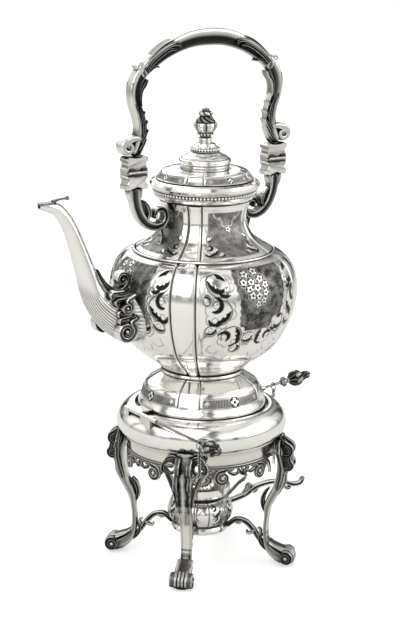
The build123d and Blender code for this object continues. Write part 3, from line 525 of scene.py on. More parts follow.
def bowl_chasing(angles, levels, lengths, radii, middle, turned):
    """The chased design of one wide panel, on its own flat map of arc lengths."""
    x = np.radians(angles - middle - turned) * radii
    left = np.interp(levels, GROUND_LEVELS, GROUND_LEFT)
    right_side = np.interp(levels, GROUND_LEVELS, GROUND_RIGHT)
    scallop = 1.1 * np.abs(np.sin(levels * 0.55))
    ground = (soft_step(left + scallop - 0.3, left + scallop + 0.3, x)
              * soft_step(right_side - scallop + 0.3, right_side - scallop - 0.3, x)
              * soft_step(221.6, 222.6, levels) * soft_step(273.2, 272.2, levels))
    border = np.maximum(line_at(x, left + scallop, 0.4), line_at(x, right_side - scallop, 0.4))
    border = border * soft_step(222, 225, levels) * soft_step(273, 271, levels)
    height, dark, stipple = -0.15 * ground, 0.6 * border, ground
    for cx, cz, wide, tall, *_ in BOWL_SCROLLS:
        y = lengths - bowl_along(cz)
        sides = [(190, 70, 3.0), (10, 44, 3.6)] if cx < 0 else [(-10, 70, 3.0), (170, 44, 3.6)]
        for middle_way, half, lobes in sides + [(270, 36, 4.0)]:
            h, d, inside = leaf_fringe(x - cx, y, wide, tall, middle_way, half, lobes)
            height, dark = height + h, np.maximum(dark * (1 - 0.9 * inside), d)
            stipple = stipple * (1 - inside)
    for cx, cz, wide, tall in BOWL_LEAVES:
        h, d, inside = leaf_fringe(x - cx, lengths - bowl_along(cz), wide, tall, 265 + cx, 100, 3.0)
        height, dark = height + h, np.maximum(dark * (1 - 0.9 * inside), 0.85 * d)
    drawn = (height, dark, stipple)
    for cx, cz, *shape in BOWL_SCROLLS + BOWL_CURLS:
        drawn = overlay(drawn, chased_scroll(x - cx, lengths - bowl_along(cz), *shape))
    for k, (cx, cz, radius) in enumerate(BOWL_DAISIES):
        flower = daisy(x - cx, lengths - bowl_along(cz), 1.12 * radius, 5, k * 1.1)
        drawn = overlay(drawn, flower, clearing=0.9)
    return drawn


def bowl_relief(middle, turned):
    """The relief of one panel with the groove at each side of it."""
    half = 45.0 - BOWL_LOBE_HALF

    def relief(angles, levels, lengths, radii):
        height, dark, stipple = bowl_chasing(angles, levels, lengths, radii, middle, turned)
        side = (half - np.abs(angles - middle - LOBE_TURN)) * np.pi / 180 * radii
        groove = line_at(side, 0.0, GROOVE_WIDTH)
        calm = soft_step(0.6, 2.4, side)
        height = height * calm - GROOVE_DEPTH * groove + 0.12 * line_at(side, 2.2, 1.2)
        return height, np.maximum(dark * calm, np.clip(groove * 1.2, 0, 1)), stipple * calm

    return relief


def plain_lobe(middle, half, swell):
    """The relief of one narrow plain lobe: a soft swell between two dark grooves."""
    def relief(angles, levels, lengths, radii):
        side = (half - np.abs(angles - middle)) * np.pi / 180 * radii
        groove = line_at(side, 0.0, GROOVE_WIDTH)
        round_top = 1 - ((angles - middle) / half) ** 2
        height = swell * round_top - GROOVE_DEPTH * groove
        return height, np.clip(groove * 1.2, 0, 1), np.zeros_like(height)

    return relief


polished = silver("polished_silver")
# The rows lie wide apart below, where the bowl is plain, and close together above.
bowl_spacing = np.concatenate([np.linspace(0, 0.17, 12)[:-1], np.linspace(0.17, 1, 200)])
for side_name, middle_angle in PANEL_SIDES.items():
    half_span = 45.0 - BOWL_LOBE_HALF
    centre_angle = middle_angle + LOBE_TURN
    panel = spun_sheet(BOWL_OUTLINE, centre_angle - half_span, centre_angle + half_span, 192,
                       len(bowl_spacing), bowl_relief(middle_angle, PANEL_TURNS[side_name]),
                       spacing=bowl_spacing)
    add_piece("bowl_panel_" + side_name, [panel], "kettle", polished,
              ["kettle_bowl"] if side_name == "near" else ())
bowl_lobes = []
for middle_angle in (45, 135, 225, 315):
    centre_angle = middle_angle + LOBE_TURN
    bowl_lobes.append(spun_sheet(
        BOWL_OUTLINE, centre_angle - BOWL_LOBE_HALF, centre_angle + BOWL_LOBE_HALF, 28, 90,
        plain_lobe(centre_angle, BOWL_LOBE_HALF, 0.8)))
add_piece("bowl_lobes", bowl_lobes, "kettle", polished)


# The neck is one sheet, soldered on the bowl under a wire. Four grey punched fields, each with a
# light V-shaped scroll and three rosettes, lie between its plain lobes.
NECK_OUTLINE = [
    (57.0, 276.9), (46.9, 283.4), (40.6, 289.0), (36.8, 295.6), (34.8, 303.0), (35.6, 310.5),
    (38.4, 318.4),
]
NECK_LOBE_HALF = 9.2
NECK_DAISIES = [(0.0, 298.6, 2.6), (7.6, 307.6, 1.8), (-7.6, 307.6, 1.8)]
NECK_SCROLLS = [(20.4, 283.6, 6.0, "spiral", 1.9, 0), (13.0, 281.0, 3.2, "curl", 1.9, 60),
                (21.6, 291.6, 2.8, "curl", 1.2, 60)]


def panel_angle(angles):
    """Angle from the middle of the nearest wide panel."""
    return np.mod(angles - LOBE_TURN + 45, 90) - 45


def groove_lines(local, radii, lobe_half, width=0.7):
    """The two engraved grooves beside each lobe, as distance from the panel's edge and darkness."""
    side = (45.0 - lobe_half - np.abs(local)) * np.pi / 180 * radii
    return side, line_at(side, 0.0, width)


def neck_relief(angles, levels, lengths, radii):
    """Punched fields, V-shaped scrolls and rosettes on the neck."""
    local = panel_angle(angles)
    side, groove = groove_lines(local, radii, NECK_LOBE_HALF)
    x = np.radians(local) * radii
    ends = soft_step(278.5, 279.5, levels) * soft_step(313.0, 312.0, levels)
    field = soft_step(27.5, 26.5, np.abs(local)) * ends
    edge = line_at(np.abs(local), 27.2, 0.7) * ends
    stipple, dark, height = 0.88 * field, 0.85 * edge, -0.1 * field
    lift = np.clip((312.5 - levels) / 15.0, 0, 1)
    ribbon_x = 16.0 * (1 - lift ** 0.7) + 1.2 * np.sin(levels * 0.9)
    scroll = line_at(np.abs(x), np.abs(ribbon_x), 0.45) * soft_step(296.5, 298, levels) * ends
    thin = line_at(np.abs(x), np.abs(ribbon_x) + 1.3, 0.3) * soft_step(298, 300, levels) * ends
    height, stipple = height + 0.15 * scroll, stipple * (1 - scroll)
    dark = np.maximum(dark * (1 - scroll), 0.8 * thin)
    drawn = (height, dark, stipple)
    for at_x, at_z, size in NECK_DAISIES:
        drawn = overlay(drawn, daisy(x - at_x, (levels - at_z) * 1.1, size, 5), 0.6, 0.9)
    for hand in (-1, 1):
        for at_x, at_z, size, kind, stretch, lean in NECK_SCROLLS:
            centre_r = np.interp(at_z, [p[1] for p in NECK_OUTLINE], [p[0] for p in NECK_OUTLINE])
            flat_x = np.radians(local) * centre_r - hand * at_x * centre_r / 48.0
            y = (levels - at_z) * stretch
            drawn = overlay(drawn, chased_scroll(flat_x, y, size, size, kind, -hand, lean), 0.8)
    height, dark, stipple = drawn
    lobe = soft_step(0.0, -3.0, side)
    return (height * soft_step(0.5, 1.5, side) - 0.8 * groove + 0.6 * lobe,
            np.maximum(dark * soft_step(0.5, 1.5, side), np.clip(groove * 1.15, 0, 1)),
            stipple * soft_step(0.5, 1.5, side))


neck = spun_sheet(NECK_OUTLINE, 0, 360, columns=540, rows=92, relief=neck_relief)
add_piece("neck", [neck], "kettle", polished, ["kettle_neck"])


# The spreading foot is a spun sheet with an engraved frieze: hatched fields, a four-petalled
# flower in the middle of each, and small lozenges beside the plain lobes.
FOOT_OUTLINE = [
    (54.2, 138.2), (54.8, 143.0), (52.6, 148.8), (51.9, 151.5), (49.7, 157.7), (47.6, 161.2),
    (42.6, 164.8), (37.0, 168.2), (34.2, 170.0),
]
FOOT_LOBE_HALF = 10.5


LOZENGE_PLACE, LOZENGE_SIZE = 6.4, 2.6


def frieze(local, share, radii, lobe_half, tall, flower):
    """One engraved band: share runs from 0 at its lower line to 1 at its upper line."""
    x = np.radians(local) * radii
    side, groove = groove_lines(local, radii, lobe_half, 0.6)
    y = (share - 0.5) * tall
    within = soft_step(0.0, 0.03, share) * soft_step(1.0, 0.97, share)
    lines = np.maximum.reduce([line_at(share, at, 0.28 / tall) for at in (0.0, 0.1, 0.9, 1.0)])
    ground = soft_step(0.12, 0.16, share) * soft_step(0.88, 0.84, share) * soft_step(1.8, 2.4, side)
    fine = 0.5 + 0.5 * np.cos((x + y) * 4.2) * np.cos((x - y) * 4.2)
    stipple = 0.86 * ground
    dark = np.maximum(0.7 * lines, ground * (0.45 + 0.55 * fine))
    height = -0.12 * ground * fine - 0.15 * lines
    from_lobe = np.abs(x) - (np.radians(45.0 - lobe_half) * radii - LOZENGE_PLACE)
    lozenge = np.abs(from_lobe) / LOZENGE_SIZE + np.abs(y) / LOZENGE_SIZE
    inside = soft_step(1.05, 0.9, lozenge)
    rings = np.maximum(0.9 * line_at(lozenge, 1.0, 0.16) * within,
                       0.8 * line_at(lozenge, 0.45, 0.14) * inside)
    drawn = overlay((height, dark, stipple), (0.25 * inside, rings, inside))
    height, dark, stipple = overlay(drawn, daisy(x, y, flower, 4), 0.6)
    calm = soft_step(0.3, 1.0, side)
    return (height * calm - 0.6 * groove, np.maximum(dark * calm, np.clip(groove * 1.15, 0, 1)),
            stipple * calm)


def foot_relief(angles, levels, lengths, radii):
    """Frieze on the sloping part, with the lobes' grooves over the whole foot above the base."""
    local = panel_angle(angles)
    low, high = 149.9, 158.6
    h, d, s = frieze(local, (levels - low) / (high - low), radii, FOOT_LOBE_HALF, 9.2, 4.0)
    groove = groove_lines(local, radii, FOOT_LOBE_HALF, 0.6)[1]
    on_band = soft_step(low - 0.3, low, levels) * soft_step(high + 0.3, high, levels)
    above = soft_step(149.0, 150.0, levels)
    return (h * on_band - 0.6 * groove * above * (1 - on_band),
            np.maximum(d * on_band, 0.95 * groove * above), s * on_band)


# The latch pin's hole is a pocket: points near the pin's line move inwards, on both sides of the sheet.
HOLE_Z, HOLE_REACH, HOLE_REACH_INSIDE, HOLE_DEPTH = 142.3, 1.9, 3.6, 4.0
FOOT_COLUMNS, FOOT_ROWS = 560, 84
foot_sheet = spun_sheet(FOOT_OUTLINE, 0, 360, FOOT_COLUMNS, FOOT_ROWS, foot_relief)
foot_points = foot_sheet[0]
from_pin = np.hypot(foot_points[:, 1], foot_points[:, 2] - HOLE_Z)
inner_side = np.arange(len(foot_points)) >= FOOT_COLUMNS * FOOT_ROWS
near_pin = from_pin < np.where(inner_side, HOLE_REACH_INSIDE, HOLE_REACH)
foot_points[near_pin & (foot_points[:, 0] > 0), 0] -= HOLE_DEPTH
add_piece("foot", [foot_sheet], "kettle", polished, ["kettle_foot"])


# The lid's shell carries the same kind of frieze. Its rim, dome, beads and cup are turned pieces.
# The bud finial above is cast: a row of pearls, broad petals, twisted leaves and a small rosette.
LID_SHELL_OUTLINE = [
    (40.6, 336.3), (38.3, 338.9), (35.5, 342.4), (31.0, 343.4), (26.0, 343.7), (20.2, 343.9)]
LID_LOBE_HALF = 10.4


def lid_relief(angles, levels, lengths, radii):
    """Frieze on the lid's slope and an engraved ring on its flat."""
    local = panel_angle(angles)
    low, high = 0.8, 6.6
    h, d, s = frieze(local, (lengths - low) / (high - low), radii, LID_LOBE_HALF, 5.8, 2.5)
    on_band = soft_step(low - 0.2, low, lengths) * soft_step(high + 0.2, high, lengths)
    rings = line_at(radii, 33.4, 0.3) + line_at(radii, 22.0, 0.4)
    groove = groove_lines(local, radii, LID_LOBE_HALF, 0.5)[1]
    groove = groove * soft_step(22.0, 24.0, radii)
    return (0.8 * h * on_band - 0.1 * rings - 0.25 * groove * (1 - on_band),
            np.clip(np.maximum(d * on_band, 0.5 * rings) + 0.5 * groove * (1 - on_band), 0, 1),
            s * on_band)


lid_shell = spun_sheet(LID_SHELL_OUTLINE, 0, 360, columns=500, rows=54, relief=lid_relief)
add_piece("lid_shell_chased", [lid_shell], "lid", polished, ["lid_shell"])


def ball(centre, radii, rows=12, columns=18, tarnish_and_shade=0.0):
    """A rounded boss: a stretched sphere, closed by small faces at its poles."""
    t = np.linspace(0.12, pi - 0.12, rows)[:, None]
    p = np.linspace(0, 2 * pi, columns, endpoint=False)[None, :]
    unit = np.stack([np.sin(t) * np.cos(p), np.sin(t) * np.sin(p), np.cos(t) + 0 * p], -1)
    points = unit.reshape(-1, 3) * np.asarray(radii) * np.ones(3) + np.asarray(centre)
    return part(points, tube_faces(rows, columns), tarnish_and_shade)


def add_cast(name, parts, body, nodes):
    """A piece cast in darkened silver."""
    return add_piece(name, parts, body, oxidised_and_shaded, nodes)


def petal_bud(outline, tiers, matrix, columns=72, rows=70):
    """A cast bud: a turned outline cut into tiers of petals.

    Each tier has its height range, number of petals, depth, twist in degrees and darkness. The
    radius falls between petals by the depth times a rounded saw of the angle.
    """
    run = smooth_run(outline, rows)
    angle = np.linspace(0, 2 * pi, columns, endpoint=False)
    r, z = run[:, :1], run[:, 1:]
    height, dark = np.zeros((rows, columns)), np.zeros((rows, columns))
    for low, high, petals, depth, twist, shade in tiers:
        share = np.clip((z - low) / (high - low), 0, 1)
        inside = (z >= low) & (z < high)
        wave = np.abs(np.sin((angle[None, :] + np.radians(twist) * share) * petals / 2))
        gap = 1 - wave ** 0.5
        swell = np.sin(pi * share) ** 0.5
        height += inside * (depth * swell * (wave ** 0.7 - 0.5) - 0.5 * depth * (share > 0.93))
        dark = np.maximum(dark, inside * np.clip(shade + gap * 1.3 + (share > 0.9) * 0.6, 0, 1))
    radius = np.maximum(r + height, 0.4)
    points = np.stack([radius * np.cos(angle), radius * np.sin(angle), z + 0 * radius], -1)
    points = points.reshape(-1, 3) @ np.array(matrix)[:3, :3].T + np.array(matrix)[:3, 3]
    return part(points, tube_faces(rows, columns), dark)


FINIAL_OUTLINE = [
    (4.6, 370.0), (4.7, 371.2), (5.6, 372.6), (6.4, 374.2), (8.2, 377.0), (9.1, 379.6), (8.4, 382.2),
    (6.4, 385.0), (4.7, 387.2), (5.3, 389.2), (4.6, 391.2), (2.5, 392.3), (2.9, 393.2), (1.2, 394.0)]
# The cast parts' silver is darker, with deeper and stronger ambient occlusion, for oxide and for painted
# shade.
oxidised_and_shaded = silver("oxidised_silver", (0.82, 0.81, 0.78), 0.15, 0.007, 2.2)
finial_tiers = [(374.0, 382.8, 6, 1.9, 0, 0.0), (382.8, 387.6, 8, 1.6, 60, 0.62),
                (387.6, 391.7, 6, 1.5, 30, 0.15), (391.7, 394.1, 6, 0.8, 0, 0.25)]
PEARLS, PEARL_RING, PEARL_LEVEL, PEARL_RADIUS = 14, 5.9, 372.7, 1.2
finial_parts = [petal_bud(FINIAL_OUTLINE, finial_tiers, Matrix.Identity(4), 108, 120)]
for k in range(PEARLS):
    bearing = 2 * pi * k / PEARLS
    centre = (PEARL_RING * cos(bearing), PEARL_RING * sin(bearing), PEARL_LEVEL)
    finial_parts.append(ball(centre, PEARL_RADIUS, 8, 10))
add_cast("finial_bud", finial_parts, "lid", ["finial"])


# The lid's dome is turned in steps, with a torus low down and a slope up to the cup.
# Fine lines of painted shade lie in the creases under the torus, over it and at the foot of the cup.
DOME_OUTLINE = [(20.4, 344.2), (20.1, 346.6), (21.4, 350.8), (18.4, 354.2), (14.6, 356.0), (11.6, 358.2)]


def dome_relief(angles, levels, lengths, radii):
    """Lines of painted shade at four creases on the run, and a swell between the second and the third."""
    lines = 0.6 * line_at(lengths, 0.8, 0.35) + 0.75 * line_at(lengths, 3.6, 0.3)
    lines = lines + 0.85 * line_at(lengths, 9.6, 0.4) + 0.5 * line_at(lengths, 15.2, 0.3)
    swell = 0.35 * soft_step(3.6, 5.6, lengths) * soft_step(9.6, 8.0, lengths)
    return swell - 0.2 * lines, np.clip(lines, 0, 0.9), 0 * lines


dome = spun_sheet(DOME_OUTLINE, 0, 360, columns=120, rows=90, relief=dome_relief)
add_piece("lid_dome_turned", [dome], "lid", polished, ["lid_dome"])


# The swan-neck spout is cast in two halves: smooth above, with fine curved flutes on its belly.
# A scrolled leaf hides the joint with the bowl, its crook on top and a pair of curls on each flank.
SPOUT_PATH = [
    (-62.0, 228.0), (-80.0, 230.0), (-92.0, 235.0), (-102.4, 243.5), (-109.6, 255.0),
    (-114.6, 268.0), (-119.4, 281.0), (-124.6, 295.0), (-130.0, 307.5), (-135.6, 316.6),
    (-142.4, 323.4), (-149.8, 326.2), (-157.0, 327.4),
]
SPOUT_RADII = [25.0, 22.0, 16.6, 12.6, 10.2, 8.8, 7.7, 6.7, 6.0, 5.4, 5.0, 4.5, 3.0]
SPOUT_WALL, MOUTH_LEVEL, PIVOT_X = 1.1, 327.9, -143.5
FLUTES, FLUTE_LEAN, FLUTE_DEPTH = 42, 16, 0.16


def fluted_spout():
    """Round sections carried square to the spout's line, open on top where they pass the mouth.

    The flutes are a cosine of the turn plus a share of the run, deepest under the belly.
    """
    count, around = 130, 210
    run = smooth_run([(x, z, r) for (x, z), r in zip(SPOUT_PATH, SPOUT_RADII)], count)
    slope = np.gradient(run[:, :2], axis=0)
    slope /= np.linalg.norm(slope, axis=1)[:, None]
    x, z, r = run[:, 0:1], run[:, 1:2], run[:, 2:3]
    side = np.stack([-slope[:, 1], slope[:, 0]], -1)
    up = np.where(side[:, 1:2] >= 0, side, -side)
    open_half = np.zeros((count, 1))
    past = run[:, 0] < PIVOT_X + 1.0
    lift = np.clip((MOUTH_LEVEL - z) / (r * up[:, 1:2]), -1, 1)
    open_half[past] = np.arccos(lift[past])
    share = np.linspace(0, 1, around)[None, :]
    turn_round = open_half + (2 * pi - 2 * open_half) * share
    along = np.linspace(0, 1, count)[:, None]
    under = soft_step(0.75, 0.1, np.cos(turn_round))
    reach_up = 0.40 - 0.10 * np.cos(turn_round)
    belly = soft_step(reach_up, reach_up - 0.10, along) * soft_step(0.04, 0.10, along)
    wave = np.cos(turn_round * FLUTES + along * FLUTE_LEAN)
    flute = belly * under
    dark = np.clip(flute * np.clip(-wave, 0, 1) ** 0.7 * 0.9, 0, 1)
    crease = line_at(np.cos(turn_round), 0.93, 0.035) * soft_step(0.25, 0.4, along)
    crease = crease * soft_step(0.99, 0.93, along)
    dark = np.maximum(dark, 0.85 * crease)
    ridge = 0.25 * line_at(np.cos(turn_round), 1.0, 0.04) * soft_step(0.3, 0.45, along)
    layers = []
    for shrink, relief in ((0.0, FLUTE_DEPTH * flute * wave + ridge), (SPOUT_WALL, 0.0)):
        radius = np.maximum(r - shrink + relief, 0.6)
        layers.append(np.stack([
            x + radius * np.cos(turn_round) * up[:, 0:1], radius * np.sin(turn_round),
            z + radius * np.cos(turn_round) * up[:, 1:2]], -1))
    layers = [np.where((open_half > 0)[:, :, None] & (layer[:, :, 2:] > MOUTH_LEVEL),
                       np.concatenate([layer[:, :, :2], np.full_like(layer[:, :, 2:], MOUTH_LEVEL)], -1),
                       layer) for layer in layers]
    total = count * around
    faces = grid_faces(count, around)
    faces += [f[::-1] for f in grid_faces(count, around, start=total)]
    for k in range(count - 1):
        a, b = k * around, (k + 1) * around
        c, d = a + around - 1, b + around - 1
        if open_half[k, 0] == 0 and open_half[k + 1, 0] == 0:
            faces.append([c, a, b, d])
            faces.append([total + a, total + c, total + d, total + b])
        else:
            faces.append([a, b, total + b, total + a])
            faces.append([d, c, total + c, total + d])
    for k in (0, count - 1):
        ring_ids = [k * around + i for i in range(around)]
        for i in range(around - 1):
            face = [ring_ids[i + 1], ring_ids[i], total + ring_ids[i], total + ring_ids[i + 1]]
            faces.append(face if k == 0 else face[::-1])
    first = [around - 1, 0, total, total + around - 1]
    faces.append(first[::-1])
    points = np.concatenate([layer.reshape(-1, 3) for layer in layers])
    return part(points, faces, np.concatenate([np.broadcast_to(dark, (count, around)).ravel(),
                                               np.full(total, 0.3)]))


def scroll_bar(path, half_widths, half_depth, groove=0.4, channel_at=0.0, channel_wide=0.4, count=44,
               around=26, lobes=0.0, shade=0.0, place=None, blunt=0.55):
    """A cast scroll: a rounded bar swept along a flat path, with a channel on both of its faces.

    The section is a squared ellipse. Its faces dip by the groove in a soft line at channel_at, in
    shares of the half width. Lobes make a leaf edge, a rounded saw of the run. Ends are domed.
    Shade darkens the bar for oxide and its flanks and channel most, as painted shade, so that the
    ridges of its faces stay bright like a painted highlight.
    """
    run = smooth_run([(x, z, w) for (x, z), w in zip(path, half_widths)], count)
    along = run_length(run[:, :2])
    slope = np.gradient(run[:, :2], along, axis=0)
    slope /= np.linalg.norm(slope, axis=1)[:, None]
    cap = np.minimum(along, along[-1] - along)[:, None] / np.maximum(run[:, 2:3] * 0.9, 0.3)
    dome = np.sqrt(np.clip(1 - (1 - np.clip(cap, 0.03, 1)) ** 2, 0, 1))
    saw = np.abs(np.cos(pi * lobes * along / along[-1]))[:, None] if lobes else 1.0
    width = run[:, 2:3] * dome * (0.70 + 0.30 * saw if lobes else 1.0)
    turn_round = np.linspace(0, 2 * pi, around, endpoint=False)[None, :]
    a, b = squared(np.cos(turn_round), blunt), squared(np.sin(turn_round), blunt)
    channel = line_at(a, channel_at, channel_wide)
    face_side = soft_step(0.3, 0.8, np.abs(b))
    b = b * (1 - groove * channel * (0.6 + 0.4 * saw if lobes else 1.0))
    x = run[:, 0:1] - slope[:, 1:2] * width * a
    z = run[:, 1:2] + slope[:, 0:1] * width * a
    y = half_depth * dome ** 0.5 * b
    dark = np.clip(channel * face_side * (1.7 if groove > 0.2 else 0.6) * dome, 0, 1) * np.ones_like(x)
    if lobes:
        dark = np.maximum(dark, (0.8 * (1 - saw) ** 3) * np.ones_like(x))
    ridge = face_side * (1 - channel) * np.ones_like(x)
    # Painted shade: flanks and channel darken most, and the ridges of the faces stay bright as a painted
    # highlight.
    dark = np.clip(dark + shade * (1.15 - 0.75 * ridge), 0, 1)
    points = np.stack([x, y, z], -1).reshape(-1, 3)
    if place is not None:
        points = place(points)
    return part(points, tube_faces(count, around), dark)


def volute(x, z, radius, start, sweep, inner_share=0.35, steps=12):
    """Points of a spiral that closes in steadily from its radius as it turns."""
    share = np.linspace(0, 1, steps + 1)
    angle = np.radians(start + sweep * share)
    reach = radius * (1 - (1 - inner_share) * share)
    return list(zip(x + reach * np.cos(angle), z + reach * np.sin(angle)))


def shifted(side_y):
    """Move points sideways."""
    return lambda points: points + np.array([0.0, side_y, 0.0])


def tapered(first, last, count):
    """Half widths that fall evenly along a run."""
    return list(np.linspace(first, last, count))


add_piece("spout_fluted", [fluted_spout()], "kettle", polished, ["spout"])
SMALL_CURLS = [(-97.4, 249.4, 3.2), (-93.8, 243.4, 3.2), (-92.4, 234.0, 3.0), (-92.0, 228.4, 2.8)]
crook = [(-106.0, 271.0), (-101.0, 262.0), (-95.6, 255.4), (-89.5, 251.4), (-83.4, 250.2)]
crook += volute(-81.6, 259.4, 6.6, -52, 560, 0.18)
leaf_parts = [scroll_bar(crook, [0.8, 1.5, 2.0, 2.2, 2.3] + tapered(2.0, 0.7, 13), 4.5, 0.25, count=81),
              ball((-81.6, 0, 259.4), (1.6, 5.0, 1.6))]
for hand in (-1, 1):
    low_curl = [(-83.0, 234.4), (-78.6, 230.6)] + volute(-89.0, 220.6, 9.0, 50, -560, 0.22)
    leaf_parts.append(scroll_bar(low_curl, [1.0, 2.0] + tapered(3.0, 1.2, 13), 5.0, 0.45, count=96,
                                 place=shifted(hand * 19.0)))
    leaf_parts.append(ball((-89.0, hand * 19.0, 220.6), (2.4, 5.4, 2.4)))
    mid_curl = [(-79.0, 250.0), (-82.6, 248.2)] + volute(-88.0, 239.6, 5.2, 80, -430, 0.3)
    leaf_parts.append(scroll_bar(mid_curl, [0.9, 1.6] + tapered(2.2, 1.0, 13), 4.6, 0.4, count=67,
                                 place=shifted(hand * 18.0)))
    leaf_parts.append(ball((-88.0, hand * 18.0, 239.6), (1.8, 4.9, 1.8)))
    for k, (top_x, top_z, size) in enumerate(SMALL_CURLS):
        curl = [(top_x + 10, top_z + 3.4), (top_x + 5, top_z + 3.0)]
        curl += volute(top_x, top_z, size, 70, 250, 0.3)
        leaf_parts.append(scroll_bar(curl, [1.0, 1.4] + tapered(1.5, 0.8, 13), 4.0, 0.45, count=44,
                                     place=shifted(hand * (13.0 + 1.6 * k)), shade=0.15))
add_cast("spout_root_leaf", leaf_parts, "kettle", ["spout_leaf"])


# Two cast brackets carry the bail. Each is a C-scroll with two bright ridges and a dark channel,
# a volute on the neck, a leaf under it and a block that holds the hinge and the bone washer.
def turned_about_axis(degrees, side_y=0.0):
    """Turn points about the upright axis, after a move sideways."""
    t = radians(degrees)
    matrix = np.array([[cos(t), -sin(t), 0], [sin(t), cos(t), 0], [0, 0, 1]])
    return lambda points: (points + np.array([0.0, side_y, 0.0])) @ matrix.T


def scroll_rows(rows, **same):
    """Scroll bars from rows of path, half widths, half depth, groove, count, shade and lobes."""
    return [scroll_bar(path, widths, depth, groove, count=count, shade=shade, lobes=lobes, **same)
            for path, widths, depth, groove, count, shade, lobes in rows]


def block(outline, half_depth, place, bulge=0.0, rows=14, tarnish_and_shade=None):
    """A cast block: a closed flat outline carried through its depth, drawn in near both faces.

    Each layer is the outline pulled towards its middle by a quarter ellipse at the ends.
    """
    corners = np.asarray(outline, float)
    edges = zip(corners, np.roll(corners, -1, 0))
    flat = np.concatenate([np.linspace(a, b, 6, endpoint=False) for a, b in edges])
    middle = (flat.min(0) + flat.max(0)) / 2
    s = np.linspace(-1, 1, rows)
    draw = 1 - 0.10 * np.clip((np.abs(s) - 0.78) / 0.22, 0, 1) ** 2 + bulge * (1 - s ** 2)
    layers = middle + (flat - middle) * draw[:, None, None]
    y = np.broadcast_to((s * half_depth)[:, None], layers.shape[:2])
    points = place(np.stack([layers[..., 0], y, layers[..., 1]], -1).reshape(-1, 3))
    around = len(flat)
    dark = np.zeros((rows, around)) if tarnish_and_shade is None else np.broadcast_to(tarnish_and_shade(flat), (rows, around))
    return part(points, tube_faces(rows, around), dark)


def slot_shade(outline):
    """Painted shade for a slot: near black all over."""
    return np.full(len(outline), 0.95)


def slot_bar(x0, x1, z0, z1, half_depth, side_y):
    """A flat bar painted with the near-black shade of a slot in a hinge block."""
    corners = [(x0, z0), (x1, z0), (x1, z1), (x0, z1)]
    return block(corners, half_depth, shifted(side_y), rows=5, tarnish_and_shade=slot_shade)


def rod(a, b, radius, around=20, tarnish_and_shade=0.0):
    """A straight round rod with slightly broken edges, from one point to another."""
    a, b = np.asarray(a, float), np.asarray(b, float)
    axis = (b - a) / np.linalg.norm(b - a)
    side = np.cross(axis, [0, 0, 1.0] if abs(axis[2]) < 0.9 else [1.0, 0, 0])
    side /= np.linalg.norm(side)
    other = np.cross(axis, side)
    t = np.linspace(0, 2 * pi, around, endpoint=False)
    ring = np.cos(t)[:, None] * side + np.sin(t)[:, None] * other
    broken = radius * 0.15
    layers = [a + ring * (radius - broken), a + axis * broken + ring * radius,
              b - axis * broken + ring * radius, b + ring * (radius - broken)]
    return part(np.concatenate(layers), tube_faces(4, around), tarnish_and_shade)


SOCKET_X, SOCKET_DEPTH, SOCKET_LOW = 69.5, 6.0, 333.0
HINGE_Y, HINGE_Z = -7.7, 347.3
BRACKET_PATH = [
    (69.5, 334.0), (69.2, 325.0), (67.0, 315.6), (62.4, 307.2), (55.6, 301.6), (48.0, 299.8),
    (41.8, 302.4), (39.8, 308.2), (42.6, 313.4), (47.8, 313.6), (50.6, 309.6), (48.8, 306.4),
]
BRACKET_WIDTHS = [4.8, 4.6, 4.3, 4.1, 3.8, 3.3, 2.8, 2.4, 2.2, 1.9, 1.5, 1.2]
LOWER_SOCKET = [
    (-10.5, 0.4), (-8.6, -0.4), (-3.0, 1.2), (0, 2.2), (3.0, 1.2), (8.6, -0.4), (10.5, 0.4), (10.4, 3.4),
    (9.2, 4.8), (8.7, 6.6), (9.0, 8.4), (10.3, 9.4), (10.5, 12.0), (-10.5, 12.0), (-10.3, 9.4),
    (-9.0, 8.4), (-8.7, 6.6), (-9.2, 4.8), (-10.4, 3.4),
]
UPPER_SOCKET = [
    (-10.5, 0.0), (10.5, 0.0), (10.3, 2.4), (9.0, 3.6), (8.7, 5.6), (9.0, 7.6), (10.4, 8.6),
    (10.5, 11.0), (7.6, 12.6), (3.0, 11.6), (-3.0, 11.6), (-7.6, 12.6), (-10.5, 11.0),
    (-10.4, 8.6), (-9.0, 7.6), (-8.7, 5.6), (-9.0, 3.6), (-10.3, 2.4),
]


def socket_shade(outline):
    """Painted shade: dark lines under the two mouldings of a hinge block."""
    level = outline[:, 1] - outline[:, 1].min()
    return 0.75 * np.maximum(line_at(level, 4.4, 0.8), line_at(level, 9.4, 0.8))


